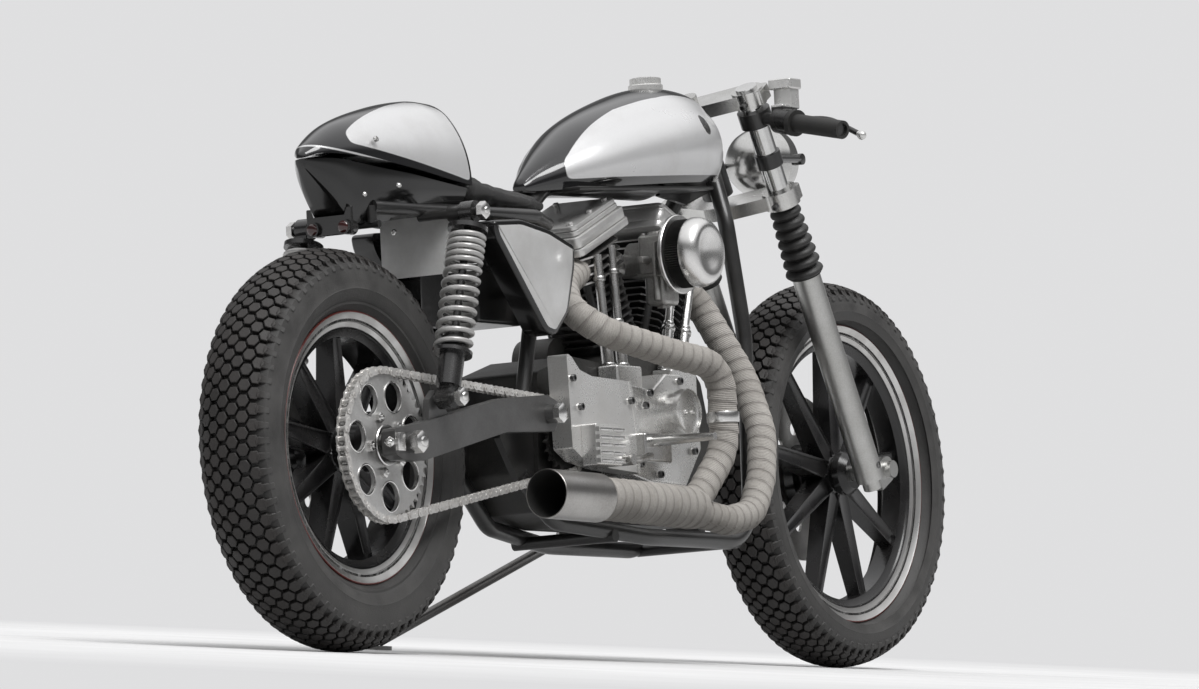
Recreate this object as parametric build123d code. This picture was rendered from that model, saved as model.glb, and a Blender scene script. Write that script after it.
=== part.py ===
from build123d import *
import os
from math import asin, atan2, cos, degrees, hypot, pi, radians, sin

# Cafe racer motorcycle. Millimetres, built upright, then leaned on its side stand.
# X runs forward from the rear axle, Y to the rider's left, Z up from the ground.

# main sizes
LEAN = 6.4
WHEELBASE = 1592.0
RAKE = 28.15

REAR_TYRE_R = 328.0
REAR_TYRE_HALF = 67.0
REAR_RIM_R = 223.0
REAR_RIM_HALF = 51.0

FRONT_TYRE_R = 338.0
FRONT_TYRE_HALF = 60.0
FRONT_RIM_R = 262.0
FRONT_RIM_HALF = 38.0

RIM_LIP = 18.0
SPOKES = 9
AXLE_R = 9.5
RUN_GAP = 0.05

CHAIN_PITCH = 15.875
CHAIN_LINKS = 106
ROLLER_R = 5.0
CHAIN_Y = -96.0
REAR_TEETH = 48
FRONT_TEETH = 23
FRONT_SPROCKET_Z = 360.0

LEG_Y = 102.0
LEG_TOP_X = 1220.0
LEG_TOP_Z = 959.0
TRIPLE_OFFSET = 30.0

CRANK_X = 895.0
CRANK_Z = 376.0
BANK = 22.5

ARM_Y = 133.0
ARM_THICK = 26.0
PIVOT_X = 434.0
PIVOT_Z = 390.0

# underside of the pan under the seat cowl: the tail, seat and side covers are placed from it
TYRE_ROOM = 43.0
TAIL_Z = 2 * REAR_TYRE_R + TYRE_ROOM

SHOCK_Y = 160.0
SHOCK_FOOT = (97.0, 403.0)
SHOCK_HEAD = (197.0, TAIL_Z + 13)

RAIL_Z = 200.0
RAIL_Y = 100.0
TUBE_R = 14.0

REAR_AXLE = (0.0, 0.0, REAR_TYRE_R)
FRONT_AXLE = (WHEELBASE, 0.0, FRONT_TYRE_R)

nodes = {}


# small makers
def plate(outline, y_low, y_high, corner=0.0):
    """A side-view outline of (x, z) points, as thick as its two Y limits."""
    face = make_face(Polyline(*outline, close=True))
    if corner:
        face = fillet(face.vertices(), corner)
    return Pos(0, y_high, 0) * extrude(Plane.XZ * face, y_high - y_low)


def rod(start, end, radius, bore=0.0):
    """A straight round bar or tube between two points."""
    along = Vector(*end) - Vector(*start)
    section = Circle(radius) - Circle(bore) if bore else Circle(radius)
    return extrude(Plane(origin=start, z_dir=along) * section, along.length)


def pipe(points, radius, bends, bore=0.0):
    """A round bar or tube through the points, each corner turned at its bend radius."""
    line = FilletPolyline(*points, radius=bends)
    section = Circle(radius) - Circle(bore) if bore else Circle(radius)
    return sweep(Plane(origin=line @ 0, z_dir=line % 0) * section, path=line)


def turned(outline, centre):
    """A ring or disc turned about a sideways axle from (y, radius) points."""
    face = make_face(Polyline(*outline, close=True))
    return Pos(*centre) * revolve(Plane.YZ * face, Axis.Y)


def block(x, y, z, edge=0.0):
    """A box between (low, high) limits on each axis."""
    size = (x[1] - x[0], y[1] - y[0], z[1] - z[0])
    solid = Pos((x[0] + x[1]) / 2, (y[0] + y[1]) / 2, (z[0] + z[1]) / 2) * Box(*size)
    return fillet(solid.edges(), edge) if edge else solid


def both(solid):
    """The solid and its twin on the other side of the machine."""
    return solid + mirror(solid, about=Plane.XZ)


# wheels
def tyre(axle, radius, half, rim_r, rim_half):
    """Tyre section of three arcs: tread crown and two bulging sidewalls."""
    seat = rim_r - RIM_LIP
    shoulder = radius - 0.30 * half
    wide = (rim_r + shoulder) / 2
    crown = ThreePointArc((-0.86 * half, shoulder), (0, radius), (0.86 * half, shoulder))
    left = ThreePointArc((0.86 * half, shoulder), (half, wide), (rim_half - 5, rim_r))
    right = ThreePointArc((-rim_half + 5, rim_r), (-half, wide), (-0.86 * half, shoulder))
    bead = Polyline((rim_half - 5, rim_r), (rim_half - 5, seat), (5 - rim_half, seat), (5 - rim_half, rim_r))
    return Pos(*axle) * revolve(Plane.YZ * make_face(crown + left + bead + right), Axis.Y)


def cast_wheel(axle, rim_r, rim_half, hub_r, hub_low, hub_high, bar):
    """Cast wheel: dropped-centre rim, hub bored for the axle and tapered flat spokes."""
    seat = rim_r - RIM_LIP
    well = seat - 15
    rim = turned(
        [
            (-rim_half, rim_r), (5 - rim_half, rim_r), (5 - rim_half, seat), (16 - rim_half, seat - 2),
            (24 - rim_half, well), (rim_half - 24, well), (rim_half - 16, seat - 2), (rim_half - 5, seat),
            (rim_half - 5, rim_r), (rim_half, rim_r), (rim_half, seat - 8), (rim_half - 14, seat - 12),
            (rim_half - 20, well - 9), (20 - rim_half, well - 9), (14 - rim_half, seat - 12),
            (-rim_half, seat - 8),
        ],
        axle,
    )
    bore = AXLE_R + RUN_GAP
    hub = turned([(hub_low, bore), (hub_low, hub_r - 8), (hub_low + 12, hub_r), (hub_high - 12, hub_r),
                  (hub_high, hub_r - 8), (hub_high, bore)], axle)
    inner, outer = hub_r - 6, well - 6
    root, tip = bar
    spoke = loft([Pos(0, 0, inner) * Rectangle(*root), Pos(0, 0, outer) * Rectangle(*tip)])
    wheel = rim + hub
    for i in range(SPOKES):
        wheel += Pos(*axle) * Rot(0, 360 / SPOKES * i, 0) * spoke
    return wheel


def disc(axle, radius, y, bolt_r):
    """Brake disc with a round window ring, on its carrier."""
    inner = bolt_r - 14
    ring = turned([(y - 2.5, inner), (y - 2.5, radius), (y + 2.5, radius), (y + 2.5, inner)], axle)
    window = Pos(axle[0], y, axle[2]) * Rot(90, 0, 0) * Cylinder(11, 20)
    reach = bolt_r + 24
    for i in range(9):
        turn = radians(40 * i + 20)
        ring -= Pos(reach * cos(turn), 0, reach * sin(turn)) * window
    return ring


def disc_gap(axle, y):
    """The room a brake disc turns in, cut from its caliper."""
    return Pos(axle[0], y, axle[2]) * Rot(90, 0, 0) * Cylinder(DISC_R + 5, 11)


nodes["rear_tyre"] = tyre(REAR_AXLE, REAR_TYRE_R, REAR_TYRE_HALF, REAR_RIM_R, REAR_RIM_HALF)
nodes["front_tyre"] = tyre(FRONT_AXLE, FRONT_TYRE_R, FRONT_TYRE_HALF, FRONT_RIM_R, FRONT_RIM_HALF)

REAR_HUB_R = 44.0
REAR_HUB = (-92.0, 81.5)
REAR_DISC_Y = 84.0
DISC_R = 146.0
DISC_BOLT_R = 62.0
# spoke sections: (width, depth) at the hub and at the rim
REAR_BAR = ((38, 44), (24, 34))
FRONT_BAR = ((34, 40), (22, 28))
nodes["rear_wheel"] = cast_wheel(REAR_AXLE, REAR_RIM_R, REAR_RIM_HALF, REAR_HUB_R, *REAR_HUB, REAR_BAR)
nodes["rear_disc"] = disc(REAR_AXLE, DISC_R, REAR_DISC_Y, DISC_BOLT_R)
nodes["rear_wheel"] += turned([(70, 40), (70, 54), (81.5, 60), (81.5, 40)], REAR_AXLE)

FRONT_HUB_R = 38.0
FRONT_HUB = (-52.0, 57.5)
FRONT_DISC_Y = 60.0
nodes["front_wheel"] = cast_wheel(FRONT_AXLE, FRONT_RIM_R, FRONT_RIM_HALF, FRONT_HUB_R, *FRONT_HUB, FRONT_BAR)
nodes["front_wheel"] += turned([(44, 34), (44, 50), (57.5, 58), (57.5, 34)], FRONT_AXLE)
nodes["front_disc"] = disc(FRONT_AXLE, DISC_R, FRONT_DISC_Y, DISC_BOLT_R)


# final drive
SPROCKET_HALF = 3.4
# tooth tips and roots from the pitch circle
TOOTH_TIP = 4.2
TOOTH_ROOT = 5.2
SPROCKET_HOLES = 7
SPROCKET_HOLE_R = 24.0
SPROCKET_HOLE_CENTRE = 84.0
REAR_PITCH_R = CHAIN_PITCH / (2 * sin(pi / REAR_TEETH))
FRONT_PITCH_R = CHAIN_PITCH / (2 * sin(pi / FRONT_TEETH))


def sprocket(teeth, pitch_r, centre, phase):
    """Toothed disc: each tooth is a root land, a flank and a narrow tip."""
    points = []
    step = 360 / teeth
    for i in range(teeth):
        for share, reach in ((-0.20, -TOOTH_ROOT), (0.20, -TOOTH_ROOT), (0.44, TOOTH_TIP), (0.56, TOOTH_TIP)):
            turn = radians(phase + step * (i + share))
            out = pitch_r + reach
            points.append((centre[0] + out * cos(turn), centre[1] + out * sin(turn)))
    return plate(points, CHAIN_Y - SPROCKET_HALF, CHAIN_Y + SPROCKET_HALF)


# chain centre distance that gives the whole number of links
TOOTH_STEP = (REAR_TEETH - FRONT_TEETH) / (2 * pi)
FREE_LINKS = CHAIN_LINKS - (REAR_TEETH + FRONT_TEETH) / 2 - TOOTH_STEP**2 * 2 / CHAIN_LINKS
DRIVE_SPAN = CHAIN_PITCH * FREE_LINKS / 2
DRIVE_RISE = FRONT_SPROCKET_Z - REAR_TYRE_R
FRONT_SPROCKET_X = (DRIVE_SPAN**2 - DRIVE_RISE**2) ** 0.5
DRIVE_SLOPE = degrees(atan2(DRIVE_RISE, FRONT_SPROCKET_X))
DRIVE_SPREAD = degrees(asin((REAR_PITCH_R - FRONT_PITCH_R) / DRIVE_SPAN))
TOP_ANGLE = 90 + DRIVE_SLOPE - DRIVE_SPREAD
LOW_ANGLE = -90 + DRIVE_SLOPE + DRIVE_SPREAD
RUN = (DRIVE_SPAN**2 - (REAR_PITCH_R - FRONT_PITCH_R) ** 2) ** 0.5


FRONT_WRAP = radians(TOP_ANGLE - LOW_ANGLE) * FRONT_PITCH_R
REAR_WRAP = radians(360 - TOP_ANGLE + LOW_ANGLE) * REAR_PITCH_R
LOOP = 2 * RUN + FRONT_WRAP + REAR_WRAP


def drive_point(way):
    """(x, z) at a distance along the chain, from the rear sprocket's upper tangent point."""
    way = way % LOOP
    tops = [(REAR_PITCH_R, 0.0, REAR_TYRE_R), (FRONT_PITCH_R, FRONT_SPROCKET_X, FRONT_SPROCKET_Z)]
    high = [(x + r * cos(radians(TOP_ANGLE)), z + r * sin(radians(TOP_ANGLE))) for r, x, z in tops]
    low = [(x + r * cos(radians(LOW_ANGLE)), z + r * sin(radians(LOW_ANGLE))) for r, x, z in tops]
    if way < RUN:
        share = way / RUN
        return tuple(a + (b - a) * share for a, b in zip(high[0], high[1]))
    way -= RUN
    if way < FRONT_WRAP:
        turn = radians(TOP_ANGLE) - way / FRONT_PITCH_R
        return (FRONT_SPROCKET_X + FRONT_PITCH_R * cos(turn), FRONT_SPROCKET_Z + FRONT_PITCH_R * sin(turn))
    way -= FRONT_WRAP
    if way < RUN:
        share = way / RUN
        return tuple(a + (b - a) * share for a, b in zip(low[1], low[0]))
    way -= RUN
    turn = radians(LOW_ANGLE) - way / REAR_PITCH_R
    return (REAR_PITCH_R * cos(turn), REAR_TYRE_R + REAR_PITCH_R * sin(turn))


def link_plate(a, b, y_low, y_high):
    """One six-sided link plate from pin to pin."""
    long = hypot(b[0] - a[0], b[1] - a[1])
    ux, uz = (b[0] - a[0]) / long, (b[1] - a[1]) / long
    outline = []
    six = ((-5.6, 0), (-2.5, 6.8), (long + 2.5, 6.8), (long + 5.6, 0), (long + 2.5, -6.8), (-2.5, -6.8))
    for along, across in six:
        outline.append((a[0] + ux * along - uz * across, a[1] + uz * along + ux * across))
    return plate(outline, y_low, y_high)


# the link plates stand in pairs, inner and outer by turns: (near face, far face) from the chain's middle
LINK_PAIRS = ((5.6, 7.2), (7.5, 9.1))
links = []
for i in range(CHAIN_LINKS):
    start = drive_point(LOOP * i / CHAIN_LINKS)
    end = drive_point(LOOP * (i + 1) / CHAIN_LINKS)
    near, far = LINK_PAIRS[i % 2]
    links.append(link_plate(start, end, CHAIN_Y + near, CHAIN_Y + far))
    links.append(link_plate(start, end, CHAIN_Y - far, CHAIN_Y - near))
# six-sided rollers between the inner plates, on the two free runs
for i in range(CHAIN_LINKS):
    x, z = drive_point(LOOP * i / CHAIN_LINKS)
    off_rear = hypot(x, z - REAR_TYRE_R) > REAR_PITCH_R + TOOTH_TIP + ROLLER_R + 0.5
    off_front = hypot(x - FRONT_SPROCKET_X, z - FRONT_SPROCKET_Z) > FRONT_PITCH_R + TOOTH_TIP + ROLLER_R + 0.5
    if off_rear and off_front:
        roller = extrude(RegularPolygon(ROLLER_R, 6), LINK_PAIRS[0][0], both=True)
        links.append(Pos(x, CHAIN_Y, z) * Rot(90, 0, 0) * roller)
nodes["drive_chain"] = Compound([link.solid() for link in links])

rear_sprocket = sprocket(REAR_TEETH, REAR_PITCH_R, (0, REAR_TYRE_R), TOP_ANGLE)
for i in range(SPROCKET_HOLES):
    turn = radians(360 / SPROCKET_HOLES * i + 18)
    hole = Pos(SPROCKET_HOLE_CENTRE * cos(turn), CHAIN_Y, REAR_TYRE_R + SPROCKET_HOLE_CENTRE * sin(turn))
    rear_sprocket -= hole * Rot(90, 0, 0) * Cylinder(SPROCKET_HOLE_R, 20)
rear_sprocket -= Pos(0, CHAIN_Y, REAR_TYRE_R) * Rot(90, 0, 0) * Cylinder(AXLE_R + RUN_GAP, 20)
nodes["rear_sprocket"] = rear_sprocket
front_sprocket = sprocket(FRONT_TEETH, FRONT_PITCH_R, (FRONT_SPROCKET_X, FRONT_SPROCKET_Z), TOP_ANGLE)

# frame
STEER_DIR = Vector(sin(radians(RAKE)), 0, -cos(radians(RAKE)))
HEAD_X = LEG_TOP_X - TRIPLE_OFFSET / cos(radians(RAKE))


def steer_point(z, side=0.0, ahead=0.0):
    """A point at height z on the steering axis, moved sideways and square ahead of it."""
    x = HEAD_X + (LEG_TOP_Z - z) * sin(radians(RAKE)) / cos(radians(RAKE))
    return (x + ahead * cos(radians(RAKE)), side, z + ahead * sin(radians(RAKE)))


NECK_R = 27.0
STEM_R = 12.5
NECK_TOP_Z = 922.0
NECK_LOW_Z = 812.0
neck = rod(steer_point(NECK_TOP_Z), steer_point(NECK_LOW_Z), NECK_R)
spine = [(1205, 0, 866), (1120, 0, 848), (1010, 0, 806), (690, 0, 800), (592, 0, 730)]
backbone = pipe(spine, 18, [80, 150, 90])
backbone += neck
backbone += plate([(1212, 840), (1090, 836), (1060, 800), (1150, 790), (1228, 815)], -4, 4)
backbone -= rod(steer_point(NECK_TOP_Z + 40), steer_point(NECK_LOW_Z - 40), STEM_R + RUN_GAP)
nodes["backbone"] = backbone

down = pipe(
    [(1208, -24, 848), (1180, -62, 760), (1185, -84, 560), (1145, -RAIL_Y, RAIL_Z), (800, -RAIL_Y, RAIL_Z),
     (560, -64, 222), (470, -60, 300)],
    TUBE_R,
    [90, 200, 90, 300, 60],
)
down_tubes = both(down)
for x in (1100, 700):
    down_tubes += rod((x, -RAIL_Y, RAIL_Z), (x, RAIL_Y, RAIL_Z), 11)
down_tubes += both(plate([(398, 428), (500, 425), (505, 270), (450, 285), (398, 356)], -70, -58))
nodes["down_tubes"] = down_tubes

RAIL_TOP = TAIL_Z + 25
upright_bends = [(470, -70, 410), (515, -70, 560), (588, -50, RAIL_TOP - 34), (600, -12, RAIL_TOP - 2)]
upright = pipe(upright_bends, TUBE_R - 1, [120, 30])
seat_rail = pipe(
    [
        (600, -58, RAIL_TOP - 2),
        (520, -86, RAIL_TOP + 4),
        (300, -84, RAIL_TOP),
        (197, -66, RAIL_TOP),
        (72, -50, RAIL_TOP),
    ],
    TUBE_R - 2,
    [60, 150, 150],
)
seat_rail += rod((72, -50, RAIL_TOP + 2), (72, -50, TAIL_Z - 2), 8)
mount = rod((SHOCK_HEAD[0], -62, SHOCK_HEAD[1]), (SHOCK_HEAD[0], -SHOCK_Y - 22, SHOCK_HEAD[1]), 8)
mount += rod((SHOCK_HEAD[0], -122, SHOCK_HEAD[1]), (SHOCK_HEAD[0], -SHOCK_Y + 14, SHOCK_HEAD[1]), 14)
rear_frame = both(upright + seat_rail + mount)
rear_frame += rod((72, -64, TAIL_Z - 4), (72, 64, TAIL_Z - 4), 6)
rear_frame += rod((330, -85, RAIL_TOP), (330, 85, RAIL_TOP), 10)
rear_frame += rod((600, -60, RAIL_TOP - 2), (600, 60, RAIL_TOP - 2), 12)
nodes["rear_frame"] = rear_frame

# swingarm
arm = plate(
    [(-42, 308), (-42, 350), (30, 360), (300, 412), (430, 422), (462, 412), (466, 384), (448, 362),
     (300, 356), (40, 300), (-20, 300)],
    -ARM_Y - ARM_THICK / 2,
    -ARM_Y + ARM_THICK / 2,
    6,
)
arm += rod((SHOCK_FOOT[0], -ARM_Y, SHOCK_FOOT[1]), (SHOCK_FOOT[0], -SHOCK_Y - 24, SHOCK_FOOT[1]), 8)
arm += plate([(70, 360), (78, 402), (97, 418), (116, 402), (136, 372)], -ARM_Y - 6, -ARM_Y + 6)
swingarm = both(arm)
swingarm += rod((PIVOT_X, -ARM_Y, PIVOT_Z), (PIVOT_X, ARM_Y, PIVOT_Z), 24)
swingarm += rod((366, -ARM_Y, 384), (366, ARM_Y, 384), 15)
swingarm += rod((0, -ARM_Y - 34, REAR_TYRE_R), (0, ARM_Y + 34, REAR_TYRE_R), AXLE_R)
swingarm += rod((0, -ARM_Y - 25, REAR_TYRE_R), (0, -ARM_Y - 10, REAR_TYRE_R), 17)
swingarm += rod((0, ARM_Y + 10, REAR_TYRE_R), (0, ARM_Y + 25, REAR_TYRE_R), 17)
swingarm += rod((0, -ARM_Y, REAR_TYRE_R), (0, CHAIN_Y - SPROCKET_HALF - 0.3, REAR_TYRE_R), 19)
swingarm += rod((0, ARM_Y, REAR_TYRE_R), (0, REAR_DISC_Y + 2.8, REAR_TYRE_R), 19)
swingarm += rod((PIVOT_X, -ARM_Y - 30, PIVOT_Z), (PIVOT_X, -ARM_Y, PIVOT_Z), 16)
swingarm += rod((PIVOT_X, ARM_Y + 30, PIVOT_Z), (PIVOT_X, ARM_Y, PIVOT_Z), 16)
swingarm += block((60, 130), (70, 118), (392, 452), 8) - disc_gap(REAR_AXLE, REAR_DISC_Y)
swingarm += plate([(60, 350), (130, 365), (130, 400), (60, 400)], 108, 121)
nodes["swingarm"] = swingarm

# shocks
SHOCK_RISE = hypot(SHOCK_HEAD[0] - SHOCK_FOOT[0], SHOCK_HEAD[1] - SHOCK_FOOT[1])
SHOCK_TILT = degrees(atan2(SHOCK_HEAD[0] - SHOCK_FOOT[0], SHOCK_HEAD[1] - SHOCK_FOOT[1]))
SPRING_R = 28.0
WIRE_R = 4.6
SPRING_LOW = 86.0
# coil pitch and turns, from the bottom up
COILS = ((18.0, 8), (11.0, 5))


def on_shock(solid):
    """Stands a piece made about the Z axis on both shock centre lines."""
    placed = Pos(SHOCK_FOOT[0], -SHOCK_Y, SHOCK_FOOT[1]) * Rot(0, SHOCK_TILT, 0) * solid
    return [placed, mirror(placed, about=Plane.XZ)]


damper = Pos(0, 0, 62) * Cylinder(21, 84) + Pos(0, 0, 106) * Cylinder(15, 10)
damper += Pos(0, 0, SHOCK_RISE / 2 + 20) * Cylinder(6.5, SHOCK_RISE - 50)
damper += Pos(0, 0, SPRING_LOW - 8) * Cylinder(33, 6)
for height in (0, SHOCK_RISE):
    damper += Pos(0, 0, height) * Rot(90, 0, 0) * Cylinder(18, 24)
damper += Pos(0, 0, 14) * Box(22, 20, 20)
damper += Pos(0, 0, SHOCK_RISE - 16) * Box(22, 20, 20)
for height in (0, SHOCK_RISE):
    damper -= Pos(0, 0, height) * Rot(90, 0, 0) * Cylinder(8.1, 30)


def coil(start, pitch, turns):
    """One stretch of spring wire, with flats on it, at a steady pitch."""
    line = Helix(pitch, pitch * turns, SPRING_R)
    section = Plane(origin=line @ 0, z_dir=line % 0) * RegularPolygon(WIRE_R, 4)
    return Pos(0, 0, start) * sweep(section, path=line, is_frenet=True)


coils = []
height = SPRING_LOW - 5 + WIRE_R + 0.3
for pitch, turns in COILS:
    coils += on_shock(coil(height, pitch, turns))
    height += pitch * turns
SPRING_HIGH = height + WIRE_R + 0.3
nodes["shock_springs"] = Compound([one.solid() for one in coils])
damper += Pos(0, 0, SPRING_HIGH + 4) * Cylinder(33, 8)
nodes["shock_dampers"] = Compound([one.solid() for one in on_shock(damper)])

# engine
CASE_HALF = 78.0
case = plate(
    [(500, 300), (560, 240), (700, 222), (960, 222), (1040, 270), (1068, 370), (1040, 470), (985, 524),
     (805, 524), (740, 490), (620, 500), (512, 470)],
    -CASE_HALF,
    CASE_HALF,
    12,
)
case += rod((1050, 0, 320), (1130, 0, 320), 38)
case += plate([(1040, 250), (1110, 215), (1110, 235), (1050, 330)], -30, 30)
case += rod((745, 20, 505), (745, 90, 505), 40)
case += rod((FRONT_SPROCKET_X, -70, FRONT_SPROCKET_Z), (FRONT_SPROCKET_X, CHAIN_Y - 8, FRONT_SPROCKET_Z), 20)
case += front_sprocket
nodes["engine_case"] = case

primary = plate(
    [(560, 330), (620, 268), (900, 262), (985, 300), (1004, 376), (980, 452), (900, 478), (640, 462),
     (566, 420)],
    CASE_HALF,
    CASE_HALF + 66,
    24,
)
primary = fillet(primary.faces().sort_by(Axis.Y)[-1].edges(), 12)
primary += rod((CRANK_X, 140, CRANK_Z), (CRANK_X, 152, CRANK_Z), 46)
primary += rod((690, 140, 372), (690, 154, 372), 62)
nodes["primary_cover"] = primary

# pushrod tubes: (foot x, foot z, head x, head z), and the tappet blocks they stand on: (low x, high x)
PUSHRODS = ((722, 470, 736, 676), (766, 470, 782, 694), (897, 470, 992, 700), (944, 470, 1052, 688))
PUSHROD_FOOT_Y = -90.0
PUSHROD_HEAD_Y = -70.0
TAPPETS = ((704, 784), (880, 962))

SPROCKET_COVER = (-150.0, -112.0)
cover = plate(
    [(491, 495), (508, 487), (531, 467), (569, 458), (690, 454), (711, 356), (705, 301), (611, 306),
     (532, 317), (496, 336)],
    *SPROCKET_COVER,
    5,
)
cover += plate([(684, 455), (691, 455), (712, 356), (706, 300), (699, 300), (704, 356)], -151, -CASE_HALF)
for x, z in ((501, 452), (522, 405), (683, 421)):
    cover += rod((x, -153, z), (x, -112, z), 6)
# finned block on the cover's lower half
cover += block((524, 604), (-180, -149), (307, 376), 3)
for i in range(5):
    cover += block((524, 604), (-186, -178), (310 + 13 * i, 318 + 13 * i))
nodes["sprocket_cover"] = cover

gear = plate(
    [(709, 300), (715, 356), (695, 452), (737, 450), (785, 445), (830, 474), (885, 474), (930, 430),
     (936, 350), (880, 284), (770, 288)],
    -136,
    -CASE_HALF,
    10,
)
gear = fillet(gear.faces().sort_by(Axis.Y)[0].edges(), 5)
gear += rod((836, -130, 406), (836, -174, 406), 39)
# tappet blocks under the four pushrods: (low x, high x)
for low, high in TAPPETS:
    gear += block((low, high), (-118, -CASE_HALF), (430, 486), 4)
for x, z in ((753, 417), (769, 439), (728, 318), (790, 302), (905, 345), (868, 462)):
    gear += rod((x, -139, z), (x, -120, z), 6)
nodes["gear_cover"] = gear

# cylinder fins: (distance up the bore, half length, half width)
BARREL_FINS = [(186 + 13 * i, 66, 64) for i in range(8)]
HEAD_FINS = [(296 + 14 * i, 74, 70) for i in range(4)]
CASE_MOUTH = 150.0
HEAD_TOP = 350.0
FIN_THICK = 3.0
# rocker box layers: (low, high, half length, half width), set off towards the engine's middle
ROCKERS = ((HEAD_TOP, 364, 88, 72), (364, 384, 86, 70), (384, 402, 78, 64))
ROCKER_SET_OFF = 8.0


def on_bank(solid, side):
    """Tilts a piece made up the Z axis to its cylinder, rear -1 or front +1."""
    return Pos(CRANK_X, 0, CRANK_Z) * Rot(0, BANK * side, 0) * solid


def fin(height, half_long, half_wide):
    """Eight-sided fin."""
    cut = 0.42 * half_wide
    shape = Rectangle(2 * half_long, 2 * half_wide)
    return Pos(0, 0, height) * extrude(chamfer(shape.vertices(), cut), FIN_THICK)


cylinders = []
rockers = []
for side in (-1, 1):
    barrel = Pos(0, 0, (CASE_MOUTH + 290) / 2) * Cylinder(50, 290 - CASE_MOUTH)
    barrel += Pos(0, 0, (286 + HEAD_TOP) / 2) * Box(112, 104, HEAD_TOP - 286)
    for row in BARREL_FINS + HEAD_FINS:
        barrel += fin(*row)
    cylinders.append(on_bank(barrel, side))
    box = None
    for low, high, half_long, half_wide in ROCKERS:
        middle = Pos(-ROCKER_SET_OFF * side, 0, (low + high) / 2)
        layer = middle * Box(2 * half_long, 2 * half_wide, high - low)
        layer = fillet(layer.edges().filter_by(Axis.Z), 12)
        box = layer if box is None else box + layer
    box = chamfer(box.faces().sort_by(Axis.Z)[-1].edges(), 6)
    rockers.append(on_bank(box, side))
nodes["cylinders"] = Compound([(c - nodes["engine_case"]).solid() for c in cylinders])
nodes["rocker_boxes"] = Compound([box.solid() for box in rockers])

pushrods = []
for foot_x, foot_z, head_x, head_z in PUSHRODS:
    foot_end = Vector(foot_x, PUSHROD_FOOT_Y, foot_z)
    head_end = Vector(head_x, PUSHROD_HEAD_Y, head_z)
    tube = rod(tuple(foot_end), tuple(head_end), 8)
    tube += rod(tuple(foot_end), tuple(foot_end + (head_end - foot_end) * 0.4), 11)
    pushrods.append(tube.solid())
nodes["pushrod_tubes"] = Compound(pushrods)

# intake
AIR_X = 866.0
AIR_Z = 676.0
carb = rod((AIR_X, -60, AIR_Z), (AIR_X, -150, AIR_Z), 27)
carb += block((AIR_X - 34, AIR_X + 34), (-140, -92), (AIR_Z - 32, AIR_Z + 36), 6)
carb += block((AIR_X - 26, AIR_X + 26), (-136, -96), (AIR_Z - 84, AIR_Z - 30), 8)
carb += rod((AIR_X - 66, -40, AIR_Z - 12), (AIR_X + 124, -40, AIR_Z - 12), 18)
carb += rod((AIR_X, -40, AIR_Z - 12), (AIR_X, -70, AIR_Z - 8), 20)
nodes["carburettor"] = carb
nodes["air_cleaner"] = turned(
    [(-150, 0), (-150, 67), (-157, 67), (-159, 60), (-186, 60), (-187, 57), (-208, 54), (-216, 46),
     (-208, 18), (-205, 0)],
    (AIR_X, 0, AIR_Z),
)

# tank, seat and covers


# shell forms, as shares of half width and height: floor width, side (width, height), shoulder (width, height)
TANK_FORM = (0.82, (1.0, 0.36), (0.72, 0.74))
COWL_FORM = (0.98, (0.90, 0.40), (0.62, 0.78))
PAN_FORM = (0.62, (0.92, 0.45), (1.0, 0.90))
PAD_FORM = (0.82, (1.0, 0.5), (0.84, 0.8))


def shell_section(x, half, low, high, form):
    """Cross-section square to X: flat floor, bowed sides up to a shoulder and an arched top."""
    foot = form[0] * half
    side, shoulder = [(half * wide, low + (high - low) * up) for wide, up in form[1:]]
    floor = Line((-foot, low), (foot, low))
    left = ThreePointArc((foot, low), side, shoulder)
    top = ThreePointArc(shoulder, (0, high), (-shoulder[0], shoulder[1]))
    right = ThreePointArc((-shoulder[0], shoulder[1]), (-side[0], side[1]), (-foot, low))
    return Plane(origin=(x, 0, 0), x_dir=(0, 1, 0), z_dir=(1, 0, 0)) * make_face(floor + left + top + right)


def tail_section(row, form, drop=0.0):
    """Section of a part of the tail, its heights counted from the underside of the pan."""
    x, half, low, high = row
    return shell_section(x, half, TAIL_Z + low, TAIL_Z + high - drop, form)


# fuel tank sections: (x, half width, floor, top)
TANK = (
    (612, 14, 783, 800),
    (640, 26, 784, 824),
    (700, 58, 788, 866),
    (780, 92, 794, 912),
    (880, 110, 802, 950),
    (1000, 120, 811, 980),
    (1100, 110, 818, 982),
    (1150, 80, 824, 966),
)
tank = loft([shell_section(*row, TANK_FORM) for row in TANK])
tunnel_outline = [(540, 700), (1170, 700), (1170, 900), (1112, 878), (1004, 836), (688, 830), (590, 772),
                  (540, 750)]
nodes["fuel_tank"] = tank - plate(tunnel_outline, -18.3, 18.3)
CAP_X = 1040.0
CAP_Z = 981.0
cap = Pos(0, 0, 2) * Cylinder(30, 14) + Pos(0, 0, 15) * Cylinder(27, 14)
nodes["filler_cap"] = Pos(CAP_X, 0, CAP_Z) * cap

# seat cowl sections: (x, half width, floor and top above the pan's underside)
COWL = (
    (-58, 6, 101, 109),
    (-34, 26, 109, 129),
    (40, 60, 105, 167),
    (150, 88, 89, 197),
    (250, 102, 73, 213),
    (304, 106, 67, 213),
)
nodes["seat_cowl"] = loft([tail_section(row, COWL_FORM) for row in COWL])
# pan under the cowl: (x, half width, floor and top above its underside)
PAN = (
    (-56, 10, 87, 101),
    (-10, 40, 43, 107),
    (42, 54, 1, 105),
    (84, 66, 0, 98),
    (150, 80, 8, 89),
    (214, 88, 17, 79),
    (300, 96, 27, 67),
)
pan = loft([tail_section(row, PAN_FORM, 0.3) for row in PAN])
nodes["cowl_pan"] = pan - nodes["rear_frame"]

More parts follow.
